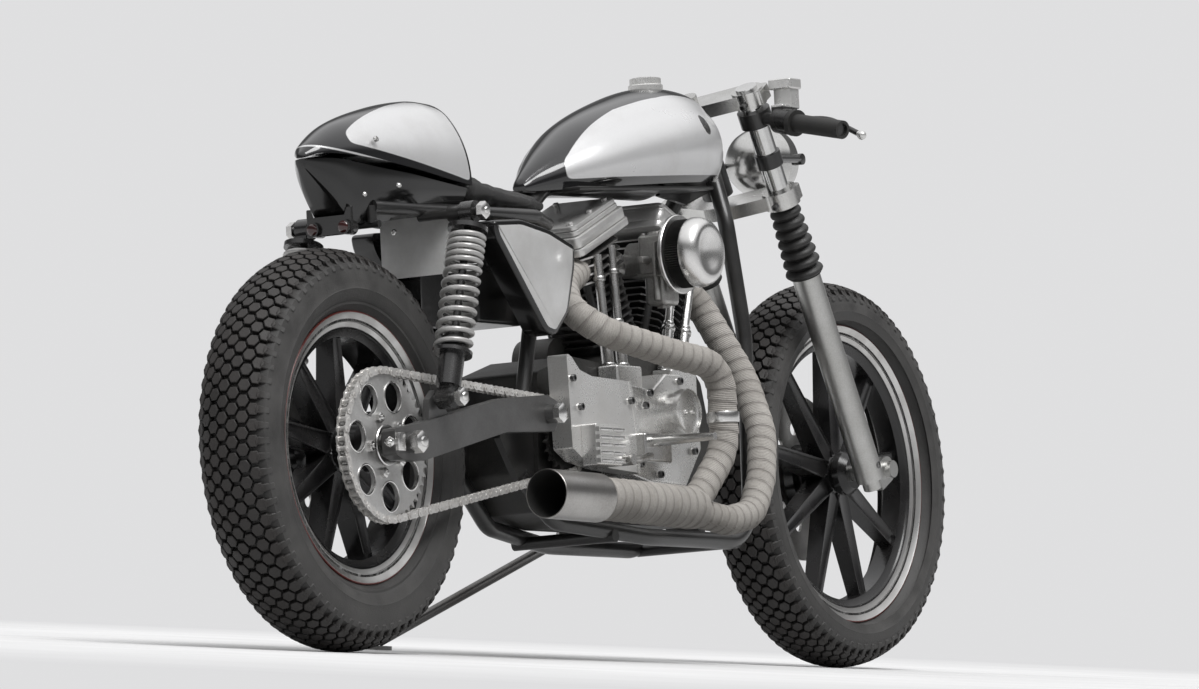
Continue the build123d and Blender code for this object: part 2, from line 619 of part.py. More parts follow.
# seat pad sections: (x, half width, floor and top above the pan's underside)
PAD = ((307, 98, 47, 101), (430, 92, 43, 81), (530, 84, 41, 73), (606, 64, 45, 67))
nodes["seat_pad"] = loft([tail_section(row, PAD_FORM) for row in PAD])

# side cover outline: (x, height above the pan's underside)
COVER = (
    (300, 7),
    (384, 13),
    (470, 1),
    (552, -23),
    (548, -59),
    (520, -139),
    (478, -177),
    (446, -171),
    (306, -19),
)
side = plate([(x, TAIL_Z + up) for x, up in COVER], -142, -96, 8)
side = fillet(side.faces().sort_by(Axis.Y)[0].edges(), 6)
nodes["side_covers"] = Compound([side.solid(), mirror(side, about=Plane.XZ).solid()])
battery = block((372, 514), (-56.7, 56.7), (TAIL_Z - 151, TAIL_Z + 1), 6)
for x, up in ((410, -59), (486, -99)):
    battery += rod((x, -96, TAIL_Z + up), (x, 96, TAIL_Z + up), 7)
nodes["battery_box"] = battery

# exhaust
PIPE_R = 25.0
rear_pipe = pipe(
    [(742, -32, 656), (640, -60, 622), (578, -104, 574), (612, -152, 534), (760, -192, 500), (880, -214, 482),
     (880, -214, 340), (800, -200, 252), (740, -194, 244)],
    PIPE_R,
    [80, 48, 60, 150, 56, 90, 80],
)
front_pipe = pipe(
    [(1052, -30, 655), (1100, -48, 610), (1118, -118, 478), (1085, -168, 378), (1040, -188, 300),
     (985, -198, 236), (900, -199, 222), (790, -196, 236)],
    PIPE_R,
    [70, 150, 150, 150, 80, 100],
)
collector_end = (508.0, -184.4, 250.6)
collector = rod((800, -196, 241), collector_end, 36)
# band clamp on the rear pipe's upright run
band = rod((880, -214, 386), (880, -214, 404), PIPE_R + 2.5)
band += block((902, 926), (-220, -208), (388, 402), 2)
nodes["exhaust_pipes"] = rear_pipe + front_pipe + collector + band
MUFFLER_R = 41.0
muffler_end = (360.0, -178.0, 254.0)
muffler = rod(collector_end, muffler_end, MUFFLER_R, MUFFLER_R - 4)
nodes["muffler"] = muffler + rod(collector_end, (496, -183.9, 251), MUFFLER_R - 1)

# foot controls
PEG_X = 723.0
PEG_Z = 352.5
foot = Pos(PEG_X, -222, PEG_Z) * Rot(90, 0, 0) * Cone(10, 6.5, 136)
foot += block((700, 786), (-168, -134), (318, 368), 5)
foot += pipe([(722, -162, 330), (660, -176, 320), (617, -178, 317)], 7, [60])
left_foot = mirror(foot + block((588, 634), (-208, -160), (308, 324), 4), about=Plane.XZ)
foot += rod((617, -166, 317), (617, -194, 317), 9)
nodes["foot_controls"] = Compound([foot.solid(), left_foot.solid()])

# plate and lamp
PLATE_X = 272.0
PLATE_LOW = TAIL_Z - 76
board = block((PLATE_X - 2, PLATE_X), (-116, 62), (PLATE_LOW, PLATE_LOW + 98))
board += rod((PLATE_X + 5, -116, PLATE_LOW + 8), (PLATE_X + 5, 62, PLATE_LOW + 8), 6)
# its holder: (ahead of the plate, above the plate's foot)
HOLDER = ((0, 5), (10, 5), (58, 77), (66, 105), (44, 105), (36, 83))
board += plate([(PLATE_X + ahead, PLATE_LOW + up) for ahead, up in HOLDER], -50, -20)
nodes["number_plate"] = board
# twin round lamps on one bracket under the pan
lamp = block((20, 26), (-44, 44), (TAIL_Z - 21, TAIL_Z + 25), 2)
for y in (-30, 30):
    lamp += rod((14, y, TAIL_Z - 9), (42, y, TAIL_Z - 9), 12.5)
nodes["tail_lamp"] = lamp

# steering
CLAMP_THICK = 24.0
steer_plane = Plane(origin=steer_point(LEG_TOP_Z), x_dir=(cos(radians(RAKE)), 0, sin(radians(RAKE))),
                    z_dir=(-sin(radians(RAKE)), 0, cos(radians(RAKE))))


def on_stem(solid):
    """Moves a piece made about the Z axis on to the steering axis, top clamp at zero."""
    return steer_plane.location * solid


def clamp(depth, leg_r):
    """Triple clamp: a waisted yoke that joins stem and both legs."""
    nose = TRIPLE_OFFSET + 30
    outline = Polyline((-22, -26), (18, -LEG_Y - 30), (nose, -LEG_Y - 28), (nose, -LEG_Y + 22), (26, 0),
                       (nose, LEG_Y - 22), (nose, LEG_Y + 28), (18, LEG_Y + 30), (-22, 26), close=True)
    body = extrude(fillet(make_face(outline).vertices(), 8), CLAMP_THICK)
    yoke = Pos(0, 0, depth - CLAMP_THICK / 2) * body
    for y in (-LEG_Y, LEG_Y):
        yoke += Pos(TRIPLE_OFFSET, y, depth) * Cylinder(leg_r, CLAMP_THICK + 6)
    return yoke


def down_to(z):
    """Depth along the steering axis, from the leg tops, of height z on the leg line."""
    return (z - LEG_TOP_Z) / cos(radians(RAKE))


LEG_R = 19.0
SLIDER_R = 25.0
TOP_CLAMP = down_to(956)
LOW_CLAMP = down_to(788)
SLIDER_TOP = down_to(662)
LEG_END = down_to(308)
LEG_CROWN = 16.0
clamps = clamp(TOP_CLAMP, 28) + clamp(LOW_CLAMP, 31)
clamps += Pos(0, 0, (TOP_CLAMP + LOW_CLAMP) / 2) * Cylinder(STEM_R, TOP_CLAMP - LOW_CLAMP + 20)
clamps += Pos(0, 0, TOP_CLAMP + 18) * Cylinder(17, 14)
for y in (-LEG_Y, LEG_Y):
    clamps -= Pos(TRIPLE_OFFSET, y, 0) * Cylinder(LEG_R, 2000)
nodes["triple_clamps"] = on_stem(clamps)

legs = []
boots = []
sliders = []
axle_line = Vector(*FRONT_AXLE) - Vector(*steer_point(LEG_TOP_Z))
AXLE_DEPTH = axle_line.dot(Vector(-sin(radians(RAKE)), 0, cos(radians(RAKE))))
AXLE_AHEAD = axle_line.dot(Vector(cos(radians(RAKE)), 0, sin(radians(RAKE))))
for y in (-LEG_Y, LEG_Y):
    leg_foot = SLIDER_TOP - 30
    legs.append(Pos(TRIPLE_OFFSET, y, (LEG_CROWN + leg_foot) / 2) * Cylinder(LEG_R, LEG_CROWN - leg_foot))
    folds = 7
    top, low = LOW_CLAMP - 16, SLIDER_TOP - 6
    fold = (top - low) / folds
    profile = [(LEG_R, low), (SLIDER_R + 2, low)]
    for i in range(folds):
        wide = 34 - 1.0 * i
        for share, reach in ((0.12, wide - 7), (0.5, wide), (0.88, wide - 7)):
            profile.append((reach, low + fold * (i + share)))
    profile += [(LEG_R + 4, top), (LEG_R, top)]
    boot = revolve(Plane.XZ * make_face(Polyline(*profile, close=True)), Axis.Z)
    boots.append(Pos(TRIPLE_OFFSET, y, 0) * boot)
    slider = Pos(TRIPLE_OFFSET, y, (SLIDER_TOP + LEG_END) / 2) * Cylinder(SLIDER_R, SLIDER_TOP - LEG_END)
    slider += Pos(TRIPLE_OFFSET, y, LEG_END - 8) * Cylinder(17, 20)
    lug = Pos((TRIPLE_OFFSET + AXLE_AHEAD) / 2, y, AXLE_DEPTH) * Box(AXLE_AHEAD - TRIPLE_OFFSET, 36, 46)
    lug += Pos(AXLE_AHEAD, y, AXLE_DEPTH) * Rot(90, 0, 0) * Cylinder(23, 36)
    slider += lug
    slider -= Pos(TRIPLE_OFFSET, y, SLIDER_TOP - 15) * Cylinder(LEG_R, 30)
    sliders.append(slider)
axle_bar = Pos(AXLE_AHEAD, 0, AXLE_DEPTH) * Rot(90, 0, 0) * Cylinder(AXLE_R, 2 * LEG_Y + 56)
axle_bar += Pos(AXLE_AHEAD, -LEG_Y - 24, AXLE_DEPTH) * Rot(90, 0, 0) * Cylinder(15, 12)
axle_bar += Pos(AXLE_AHEAD, LEG_Y + 24, AXLE_DEPTH) * Rot(90, 0, 0) * Cylinder(15, 12)
axle_bar += Pos(AXLE_AHEAD, -(LEG_Y + 52.3) / 2, AXLE_DEPTH) * Rot(90, 0, 0) * Cylinder(15, LEG_Y - 52.3)
axle_bar += Pos(AXLE_AHEAD, (LEG_Y + 62.8) / 2, AXLE_DEPTH) * Rot(90, 0, 0) * Cylinder(15, LEG_Y - 62.8)
nodes["fork_tubes"] = Compound([on_stem(leg).solid() for leg in legs])
nodes["fork_boots"] = Compound([on_stem(boot).solid() for boot in boots])
nodes["fork_sliders"] = on_stem(sliders[0] + axle_bar + sliders[1])

# clip-on bars: each runs out, back and down from its clamp
BAR_R = 11.0
CLIP_DEPTH = TOP_CLAMP - 38
bar_root = steer_plane.location * Pos(TRIPLE_OFFSET, -LEG_Y, CLIP_DEPTH)
root = Vector(*bar_root.position)
BAR_END = Vector(1176, -302, 892)
way = (BAR_END - root).normalized()
bar = rod(tuple(root + way * 24), tuple(BAR_END), BAR_R)
clip = Pos(TRIPLE_OFFSET, -LEG_Y, CLIP_DEPTH) * (Cylinder(29, 28) - Cylinder(LEG_R, 40))
bar += on_stem(clip)
nodes["handlebars"] = Compound([bar.solid(), mirror(bar, about=Plane.XZ).solid()])
grip = rod(tuple(BAR_END - way * 118), tuple(BAR_END + way * 5), 16, BAR_R)
grip += rod(tuple(BAR_END - way * 118), tuple(BAR_END - way * 108), 23, BAR_R)
nodes["grips"] = Compound([grip.solid(), mirror(grip, about=Plane.XZ).solid()])
perch = BAR_END - way * 140
control = rod(tuple(perch - way * 14), tuple(perch + way * 20), 22, BAR_R)
lever_root = perch + Vector(34, 0, 6)
control += rod(tuple(perch + Vector(12, 0, 0)), tuple(lever_root), 9)
lever_bend = lever_root + Vector(14, -60, -4)
LEVER_TIP = (1226, -314, 884)
control += pipe([tuple(lever_root + Vector(0, 12, 0)), tuple(lever_bend), LEVER_TIP], 5, [60])
control += Pos(*LEVER_TIP) * Sphere(8)
reservoir = block((perch.X + 12, perch.X + 52), (perch.Y - 8, perch.Y + 36), (perch.Z + 58, perch.Z + 76), 3)
reservoir += block((perch.X + 22, perch.X + 50), (perch.Y - 4, perch.Y + 32), (perch.Z + 24, perch.Z + 60), 3)
reservoir += block((perch.X - 6, perch.X + 44), (perch.Y - 2, perch.Y + 22), (perch.Z + 4, perch.Z + 30), 2)
left_control = mirror(control, about=Plane.XZ)
nodes["hand_controls"] = Compound([(control + reservoir).solid(), left_control.solid()])

LAMP = (1424.0, 0.0, 878.0)
LAMP_R = 62.0
LAMP_PROFILE = ((30, 0), (26, 30), (18, LAMP_R - 4), (22, LAMP_R), (-9, LAMP_R), (-40, LAMP_R - 9),
                (-62, LAMP_R - 27), (-72, 0))
headlight = Pos(*LAMP) * revolve(Plane.XZ * make_face(Polyline(*LAMP_PROFILE, close=True)), Axis.X)
# lamp stays from fork leg to lamp side
stay = rod(steer_point(852, -LEG_Y, TRIPLE_OFFSET), (LAMP[0] + 6, -LAMP_R - 8, LAMP[2]), 6)
stay += rod((LAMP[0] + 6, -LAMP_R - 15, LAMP[2]), (LAMP[0] + 6, -LAMP_R + 8, LAMP[2]), 10)
ear = on_stem(Pos(TRIPLE_OFFSET, -LEG_Y, down_to(852)) * (Cylinder(23, 26) - Cylinder(LEG_R, 30)))
side_stay = ear + (stay - on_stem(Pos(TRIPLE_OFFSET, -LEG_Y, 0) * Cylinder(LEG_R, 600)))
nodes["headlight"] = headlight + side_stay + mirror(side_stay, about=Plane.XZ)

CAL_X, CAL_Z = WHEELBASE - 118.0, FRONT_TYRE_R + 92.0
caliper = block((CAL_X - 30, CAL_X + 34), (46, 86), (CAL_Z - 36, CAL_Z + 40), 6)
nodes["front_caliper"] = caliper - disc_gap(FRONT_AXLE, FRONT_DISC_Y)

# side stand
STAND_PIVOT = Vector(908, 134, 218)
STAND_AXIS = Vector(-0.6876, 0.7144, 0.1300).normalized()
STAND_PIN_R = 6.0
STAND_FOOT_X = 730.0
STAND_REACH = 405.0
PAD_THICK = 7.0
# plumb direction and the foot's place, as they lie in the leaning machine's own frame
PLUMB = Vector(0, -sin(radians(LEAN)), cos(radians(LEAN)))
foot_at = Vector(STAND_FOOT_X, STAND_REACH * cos(radians(LEAN)), STAND_REACH * sin(radians(LEAN)))
leg = rod(tuple(STAND_PIVOT), tuple(foot_at + PLUMB * 13), 9)
leg += rod(tuple(foot_at), tuple(foot_at + PLUMB * PAD_THICK), 24)
leg += rod(tuple(STAND_PIVOT - STAND_AXIS * 8), tuple(STAND_PIVOT + STAND_AXIS * 8), 15)
leg -= rod(tuple(STAND_PIVOT - STAND_AXIS * 30), tuple(STAND_PIVOT + STAND_AXIS * 60), STAND_PIN_R + RUN_GAP)
nodes["side_stand"] = leg
bracket = rod(tuple(STAND_PIVOT - STAND_AXIS * 30), tuple(STAND_PIVOT - STAND_AXIS * 10.5), 16)
bracket += rod(tuple(STAND_PIVOT - STAND_AXIS * 20), tuple(STAND_PIVOT + STAND_AXIS * 12), STAND_PIN_R)
nodes["down_tubes"] += bracket - leg

# seated pieces: each is cut to the neighbour it beds on
SEATED = (
    ("rear_frame", "backbone"),
    ("down_tubes", "rear_frame"),
    ("down_tubes", "swingarm"),
    ("engine_case", "down_tubes"),
    ("primary_cover", "engine_case"),
    ("sprocket_cover", "engine_case"),
    ("gear_cover", "engine_case"),
    ("pushrod_tubes", "cylinders"),
    ("pushrod_tubes", "rocker_boxes"),
    ("pushrod_tubes", "engine_case"),
    ("pushrod_tubes", "gear_cover"),
    ("carburettor", "cylinders"),
    ("exhaust_pipes", "cylinders"),
    ("filler_cap", "fuel_tank"),
    ("cowl_pan", "seat_cowl"),
    ("tail_lamp", "rear_frame"),
    ("tail_lamp", "cowl_pan"),
    ("number_plate", "rear_frame"),
    ("number_plate", "cowl_pan"),
    ("foot_controls", "primary_cover"),
    ("foot_controls", "gear_cover"),
    ("foot_controls", "sprocket_cover"),
    ("seat_pad", "backbone"),
    ("side_covers", "rear_frame"),
    ("battery_box", "rear_frame"),
    ("muffler", "exhaust_pipes"),
    ("fork_boots", "fork_sliders"),
    ("front_caliper", "fork_sliders"),
    ("hand_controls", "handlebars"),
)
for name, neighbour in SEATED:
    nodes[name] -= nodes[neighbour]

# lean, shared origin and files
leaned = {name: Rot(-LEAN, 0, 0) * shape for name, shape in nodes.items()}
boxes = [shape.bounding_box() for shape in leaned.values()]
LOW = [min(getattr(box.min, axis) for box in boxes) for axis in "XYZ"]
HIGH = [max(getattr(box.max, axis) for box in boxes) for axis in "XYZ"]
SHIFT = (-(LOW[0] + HIGH[0]) / 2, -(LOW[1] + HIGH[1]) / 2, -LOW[2])
print("origin moved by", SHIFT, "size", [high - low for low, high in zip(LOW, HIGH)])
os.makedirs("parts", exist_ok=True)
for name, shape in leaned.items():
    export_step(Pos(*SHIFT) * shape, "parts/" + name + ".step")
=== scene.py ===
from math import atan2, cos, pi, radians, sin

import bmesh
import bpy
from mathutils import Matrix, Vector
from mathutils.geometry import interpolate_bezier


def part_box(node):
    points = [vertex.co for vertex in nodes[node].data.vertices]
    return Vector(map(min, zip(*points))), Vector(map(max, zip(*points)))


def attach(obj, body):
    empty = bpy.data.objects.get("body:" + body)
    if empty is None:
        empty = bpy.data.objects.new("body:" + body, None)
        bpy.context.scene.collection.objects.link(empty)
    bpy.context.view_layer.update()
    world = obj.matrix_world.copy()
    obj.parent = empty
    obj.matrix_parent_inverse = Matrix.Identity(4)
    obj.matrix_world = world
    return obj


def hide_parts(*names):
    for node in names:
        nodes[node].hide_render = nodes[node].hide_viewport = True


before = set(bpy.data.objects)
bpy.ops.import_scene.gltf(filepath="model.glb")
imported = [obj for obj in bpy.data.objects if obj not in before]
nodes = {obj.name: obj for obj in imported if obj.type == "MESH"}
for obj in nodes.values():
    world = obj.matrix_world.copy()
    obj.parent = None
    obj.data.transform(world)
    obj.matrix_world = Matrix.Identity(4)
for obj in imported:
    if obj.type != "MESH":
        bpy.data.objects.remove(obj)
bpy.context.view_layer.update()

# How the machine stands
# Every piece is made upright, with X forward from the rear axle, Y to the rider's left and Z up from the
# ground, and is then leaned over on its side stand. The rear tyre's box gives the place of its axle.
LEAN = radians(-6.4)
WHEELBASE = 1.592
REAR_TYRE_R = 0.328
FRONT_TYRE_R = 0.338
REAR_AXLE = Vector((0, 0, REAR_TYRE_R))
FRONT_AXLE = Vector((WHEELBASE, 0, FRONT_TYRE_R))
lean = Matrix.Rotation(LEAN, 4, "X")
low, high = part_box("rear_tyre")
parked = Matrix.Translation((low + high) / 2 - lean @ REAR_AXLE) @ lean

# Camera, floor and light
# The machine is seen from low behind its right rear, with a long lens a good way off. It stands on a
# plain pale floor that fades into a pale backdrop, under a broad soft lamp and a wide sky.
EYE = parked.to_translation() + Vector((-14.042, -9.09908675, 0.12352267))
TARGET = parked.to_translation() + Vector((0.7474, 0.00001325, 0.52972267))
ROLL = radians(2.45)
camera_data = bpy.data.cameras.new("eye")
camera_data.lens = 310.3
camera_data.sensor_width = 36
camera_data.clip_end = 200
camera = bpy.data.objects.new("eye", camera_data)
bpy.context.scene.collection.objects.link(camera)
look = (TARGET - EYE).normalized()
right = look.cross(Vector((0, 0, 1))).normalized()
up = right.cross(look)
across = right * cos(ROLL) + up * sin(ROLL)
upward = -right * sin(ROLL) + up * cos(ROLL)
camera.matrix_world = Matrix((
    (across.x, upward.x, -look.x, EYE.x),
    (across.y, upward.y, -look.y, EYE.y),
    (across.z, upward.z, -look.z, EYE.z),
    (0, 0, 0, 1),
))
bpy.context.scene.camera = camera
bpy.context.scene.view_settings.view_transform = "Standard"


def join(tree, *pairs):
    """Links sockets in pairs: the one that gives, the one that takes."""
    for giver, taker in pairs:
        tree.links.new(giver, taker)


def sums(tree, operation, first, second=0.0, clamp=False):
    """One sum on one or two values; each is a number or a socket."""
    node = tree.nodes.new("ShaderNodeMath")
    node.operation = operation
    node.use_clamp = clamp
    for value, socket in ((first, node.inputs[0]), (second, node.inputs[1])):
        if isinstance(value, bpy.types.NodeSocket):
            tree.links.new(value, socket)
        else:
            socket.default_value = value
    return node.outputs[0]


def mixed(tree, mask, first, second):
    """A colour that goes from the first to the second by the mask; each is a colour or a socket."""
    mix = tree.nodes.new("ShaderNodeMix")
    mix.data_type = "RGBA"
    tree.links.new(mask, mix.inputs["Factor"])
    for colour, socket in ((first, mix.inputs[6]), (second, mix.inputs[7])):
        if isinstance(colour, bpy.types.NodeSocket):
            tree.links.new(colour, socket)
        else:
            socket.default_value = (*colour, 1)
    return mix.outputs[2]


def ranged(tree, value, from_low, from_high, to_low, to_high):
    """A value carried from one range to another, and held inside it."""
    carry = tree.nodes.new("ShaderNodeMapRange")
    limits = {"From Min": from_low, "From Max": from_high, "To Min": to_low, "To Max": to_high}
    for title, number in limits.items():
        carry.inputs[title].default_value = number
    tree.links.new(value, carry.inputs["Value"])
    return carry.outputs[0]


def seen_rays(tree):
    """1 for rays that see a thing, straight or in a gloss or glass, and 0 for those that light it."""
    path = tree.nodes.new("ShaderNodeLightPath")
    glossy = sums(tree, "ADD", path.outputs["Is Camera Ray"], path.outputs["Is Glossy Ray"])
    return sums(tree, "ADD", glossy, path.outputs["Is Transmission Ray"], clamp=True)


def greys(tree, value, stops):
    """Greys along a value from 0 to 1, from stops of (place, level)."""
    node = tree.nodes.new("ShaderNodeValToRGB")
    for place, level in stops[1:-1]:
        node.color_ramp.elements.new(place)
    for element, (place, level) in zip(node.color_ramp.elements, stops):
        element.position = place
        element.color = (level, level, level * 1.01, 1)
    tree.links.new(value, node.inputs["Fac"])
    return node.outputs[0]


PALE = 0.74
# brightness from straight below (0) to straight above (1): as a gloss sees it, and as it lights the machine
SEEN_SKY = ((0.0, 0.10), (0.44, PALE), (0.535, PALE), (0.58, 0.16), (0.70, 0.10), (0.80, 0.95), (1.0, 1.15))
LIT_SKY = ((0.0, 0.10), (0.46, 0.16), (0.52, 0.26), (0.64, 0.30), (0.78, 0.80), (1.0, 1.00))
world = bpy.data.worlds.new("studio")
world.use_nodes = True
bpy.context.scene.world = world
sky = world.node_tree
sky_place = sky.nodes.new("ShaderNodeTexCoord")
sky_split = sky.nodes.new("ShaderNodeSeparateXYZ")
join(sky, (sky_place.outputs["Generated"], sky_split.inputs[0]))
sky_height = ranged(sky, sky_split.outputs["Z"], -1, 1, 0, 1)
sky_colour = mixed(sky, seen_rays(sky), greys(sky, sky_height, LIT_SKY), greys(sky, sky_height, SEEN_SKY))
join(sky, (sky_colour, sky.nodes["Background"].inputs["Color"]))

SUN_FROM = Vector((-0.30, -0.62, 1.15))
sun = bpy.data.lights.new("broad_lamp", "SUN")
sun.energy = 2.1
sun.angle = radians(32)
sun_object = bpy.data.objects.new("broad_lamp", sun)
sun_object.rotation_euler = SUN_FROM.to_track_quat("Z", "Y").to_euler()
bpy.context.scene.collection.objects.link(sun_object)

FLOOR_REACH = 60.0
floor_mesh = bmesh.new()
bmesh.ops.create_grid(floor_mesh, x_segments=1, y_segments=1, size=FLOOR_REACH)
floor_data = bpy.data.meshes.new("floor")
floor_mesh.to_mesh(floor_data)
floor_mesh.free()
floor = bpy.data.objects.new("floor", floor_data)
bpy.context.scene.collection.objects.link(floor)
pale_floor = bpy.data.materials.new("pale_floor")
pale_floor.use_nodes = True
tree = pale_floor.node_tree
shader = tree.nodes["Principled BSDF"]
shader.inputs["Specular IOR Level"].default_value = 0.1
floor_place = tree.nodes.new("ShaderNodeTexCoord")
floor_grain = tree.nodes.new("ShaderNodeTexNoise")
floor_grain.inputs["Scale"].default_value = 3.0
floor_grain.inputs["Detail"].default_value = 8
far_off = tree.nodes.new("ShaderNodeVectorMath")
far_off.operation = "LENGTH"
glow = tree.nodes.new("ShaderNodeEmission")
glow.inputs["Color"].default_value = (PALE, PALE, PALE * 1.01, 1)
blend = tree.nodes.new("ShaderNodeMixShader")
join(
    tree,
    (floor_place.outputs["Object"], floor_grain.inputs["Vector"]),
    (floor_place.outputs["Object"], far_off.inputs[0]),
)
seen = seen_rays(tree)
speckled = mixed(
    tree, ranged(tree, floor_grain.outputs["Fac"], 0.35, 0.65, 0, 1), (0.66, 0.66, 0.66), (0.72, 0.72, 0.72)
)
fade = sums(tree, "MULTIPLY", ranged(tree, far_off.outputs["Value"], 1.9, 4.6, 0, 1), seen)
join(
    tree,
    (mixed(tree, seen, (0.20, 0.20, 0.20), speckled), shader.inputs["Base Color"]),
    (ranged(tree, floor_grain.outputs["Fac"], 0, 1, 0.75, 0.95), shader.inputs["Roughness"]),
    (fade, blend.inputs["Fac"]),
    (shader.outputs[0], blend.inputs[1]),
    (glow.outputs[0], blend.inputs[2]),
    (blend.outputs[0], tree.nodes["Material Output"].inputs["Surface"]),
)
floor_data.materials.append(pale_floor)


# Rear tyre
# A wide vintage block-tread tyre of black-brown rubber with dull grey flanks. The crown carries seven rows
# of six-sided blocks set half a pitch apart, and each shoulder a ring of short bars across the edge.
def named_group(name, inputs, outputs):
    """A shader node group with its named sockets: (name, kind, default) and (name, kind)."""
    group = bpy.data.node_groups.new(name, "ShaderNodeTree")
    for title, kind, default in inputs:
        socket = group.interface.new_socket(title, in_out="INPUT", socket_type="NodeSocket" + kind)
        if default is not None:
            socket.default_value = default
    for title, kind in outputs:
        group.interface.new_socket(title, in_out="OUTPUT", socket_type="NodeSocket" + kind)
    return group, group.nodes.new("NodeGroupInput"), group.nodes.new("NodeGroupOutput")


# broad cloudy patches and a fine grain, both from 0 to 1
patches, given, made = named_group(
    "patches",
    [("Vector", "Vector", None), ("Patch Scale", "Float", 8.0), ("Grain Scale", "Float", 300.0)],
    [("Patch", "Float"), ("Grain", "Float")],
)
broad = patches.nodes.new("ShaderNodeTexNoise")
broad.inputs["Detail"].default_value = 6
broad.inputs["Roughness"].default_value = 0.62
grain = patches.nodes.new("ShaderNodeTexNoise")
grain.inputs["Detail"].default_value = 3
join(
    patches,
    (given.outputs["Vector"], broad.inputs["Vector"]),
    (given.outputs["Patch Scale"], broad.inputs["Scale"]),
    (ranged(patches, broad.outputs["Fac"], 0.32, 0.68, 0, 1), made.inputs["Patch"]),
    (given.outputs["Vector"], grain.inputs["Vector"]),
    (given.outputs["Grain Scale"], grain.inputs["Scale"]),
    (grain.outputs["Fac"], made.inputs["Grain"]),
)

# a place counted on the upright machine: forward, to the left, up
upright, given, made = named_group(
    "upright_place",
    [("Vector", "Vector", None)],
    [("Forward", "Float"), ("Left", "Float"), ("Up", "Float")],
)
stood_up = upright.nodes.new("ShaderNodeMapping")
stood_up.vector_type = "POINT"
stood_up.inputs["Rotation"].default_value = parked.inverted().to_euler()
stood_up.inputs["Location"].default_value = parked.inverted().to_translation()
three_ways = upright.nodes.new("ShaderNodeSeparateXYZ")
join(
    upright,
    (given.outputs["Vector"], stood_up.inputs["Vector"]),
    (stood_up.outputs[0], three_ways.inputs[0]),
    (three_ways.outputs["X"], made.inputs["Forward"]),
    (three_ways.outputs["Y"], made.inputs["Left"]),
    (three_ways.outputs["Z"], made.inputs["Up"]),
)


def new_finish(name, patch=8.0, grain_scale=300.0):
    """A material with its shader, object place, and the patches effect at its own scales."""
    material = bpy.data.materials.new(name)
    material.use_nodes = True
    tree = material.node_tree
    place = tree.nodes.new("ShaderNodeTexCoord").outputs["Object"]
    effect = tree.nodes.new("ShaderNodeGroup")
    effect.node_tree = patches
    effect.inputs["Patch Scale"].default_value = patch
    effect.inputs["Grain Scale"].default_value = grain_scale
    join(tree, (place, effect.inputs["Vector"]))
    shader = tree.nodes["Principled BSDF"]
    return material, tree, shader, place, effect.outputs["Patch"], effect.outputs["Grain"]


def relief(tree, shader, height, depth):
    """Raises the surface by a height value, as deep as told in metres."""
    bump = tree.nodes.new("ShaderNodeBump")
    bump.inputs["Strength"].default_value = 1
    bump.inputs["Distance"].default_value = depth
    join(tree, (height, bump.inputs["Height"]), (bump.outputs[0], shader.inputs["Normal"]))


def at_place(tree, place):
    """Forward, left and up of a place, counted on the upright machine."""
    effect = tree.nodes.new("ShaderNodeGroup")
    effect.node_tree = upright
    join(tree, (place, effect.inputs["Vector"]))
    return effect.outputs["Forward"], effect.outputs["Left"], effect.outputs["Up"]


def from_axle(tree, place, axle):
    """Distance of a place from an axle that lies across the machine."""
    forward, left, height = at_place(tree, place)
    ahead = sums(tree, "SUBTRACT", forward, axle.x)
    above = sums(tree, "SUBTRACT", height, axle.z)
    square = sums(tree, "ADD", sums(tree, "MULTIPLY", ahead, ahead), sums(tree, "MULTIPLY", above, above))
    return sums(tree, "SQRT", square)


def piece(name, mesh, body, materials, sharp=38):
    """Leans a finished bmesh with the machine and makes it a piece that rides on a body."""
    mesh.transform(parked)
    data = bpy.data.meshes.new(name)
    mesh.to_mesh(data)
    mesh.free()
    data.shade_smooth()
    data.set_sharp_from_angle(angle=radians(sharp))
    for material in materials:
        data.materials.append(material)
    made_piece = bpy.data.objects.new(name, data)
    bpy.context.scene.collection.objects.link(made_piece)
    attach(made_piece, body)
    return made_piece


def join_part(mesh, part):
    """Adds a finished small bmesh to a larger one, its faces turned outwards."""
    bmesh.ops.recalc_face_normals(part, faces=part.faces)
    data = bpy.data.meshes.new("part")
    part.to_mesh(data)
    part.free()
    mesh.from_mesh(data)
    bpy.data.meshes.remove(data)


def ease(part, geom, offset, steps=2, affect="EDGES"):
    """Bevels edges or corners by an offset, in so many steps."""
    bmesh.ops.bevel(part, geom=geom, offset=offset, affect=affect, segments=steps, profile=0.5, material=-1)


def raised(part, faces, way):
    """Extrudes faces by a vector, and gives the new points and the new faces."""
    grown = bmesh.ops.extrude_face_region(part, geom=faces)["geom"]
    points = [item for item in grown if isinstance(item, bmesh.types.BMVert)]
    bmesh.ops.translate(part, verts=points, vec=way)
    return points, [item for item in grown if isinstance(item, bmesh.types.BMFace)]


def repeated(part, axle, turn, copies):
    """Repeats everything in a small bmesh round an axle that lies across the machine."""
    everything = part.verts[:] + part.edges[:] + part.faces[:]
    bmesh.ops.spin(part, geom=everything, cent=axle, axis=(0, 1, 0), angle=turn * copies, steps=copies,
                   use_duplicate=True)


def turned(mesh, outline, centre, steps=96, axis=(0, 1, 0)):
    """Spins an outline of (along, radius) points about an axis through the centre, and closes it outwards."""
    part = bmesh.new()
    along = Vector(axis).normalized()
    out = Vector((0, 0, 1)) if abs(along.z) < 0.9 else Vector((1, 0, 0))
    out = (out - along * out.dot(along)).normalized()
    row = [part.verts.new(Vector(centre) + along * a + out * r) for a, r in outline]
    row += [part.edges.new(pair) for pair in zip(row, row[1:])]
    bmesh.ops.spin(part, geom=row, cent=centre, axis=along, angle=2 * pi, steps=steps, use_merge=True)
    bmesh.ops.remove_doubles(part, verts=part.verts, dist=1e-6)
    join_part(mesh, part)


TREAD_DEPTH = 0.0078
BLOCK_ROWS = 7
ROW_STEP = radians(10.9)


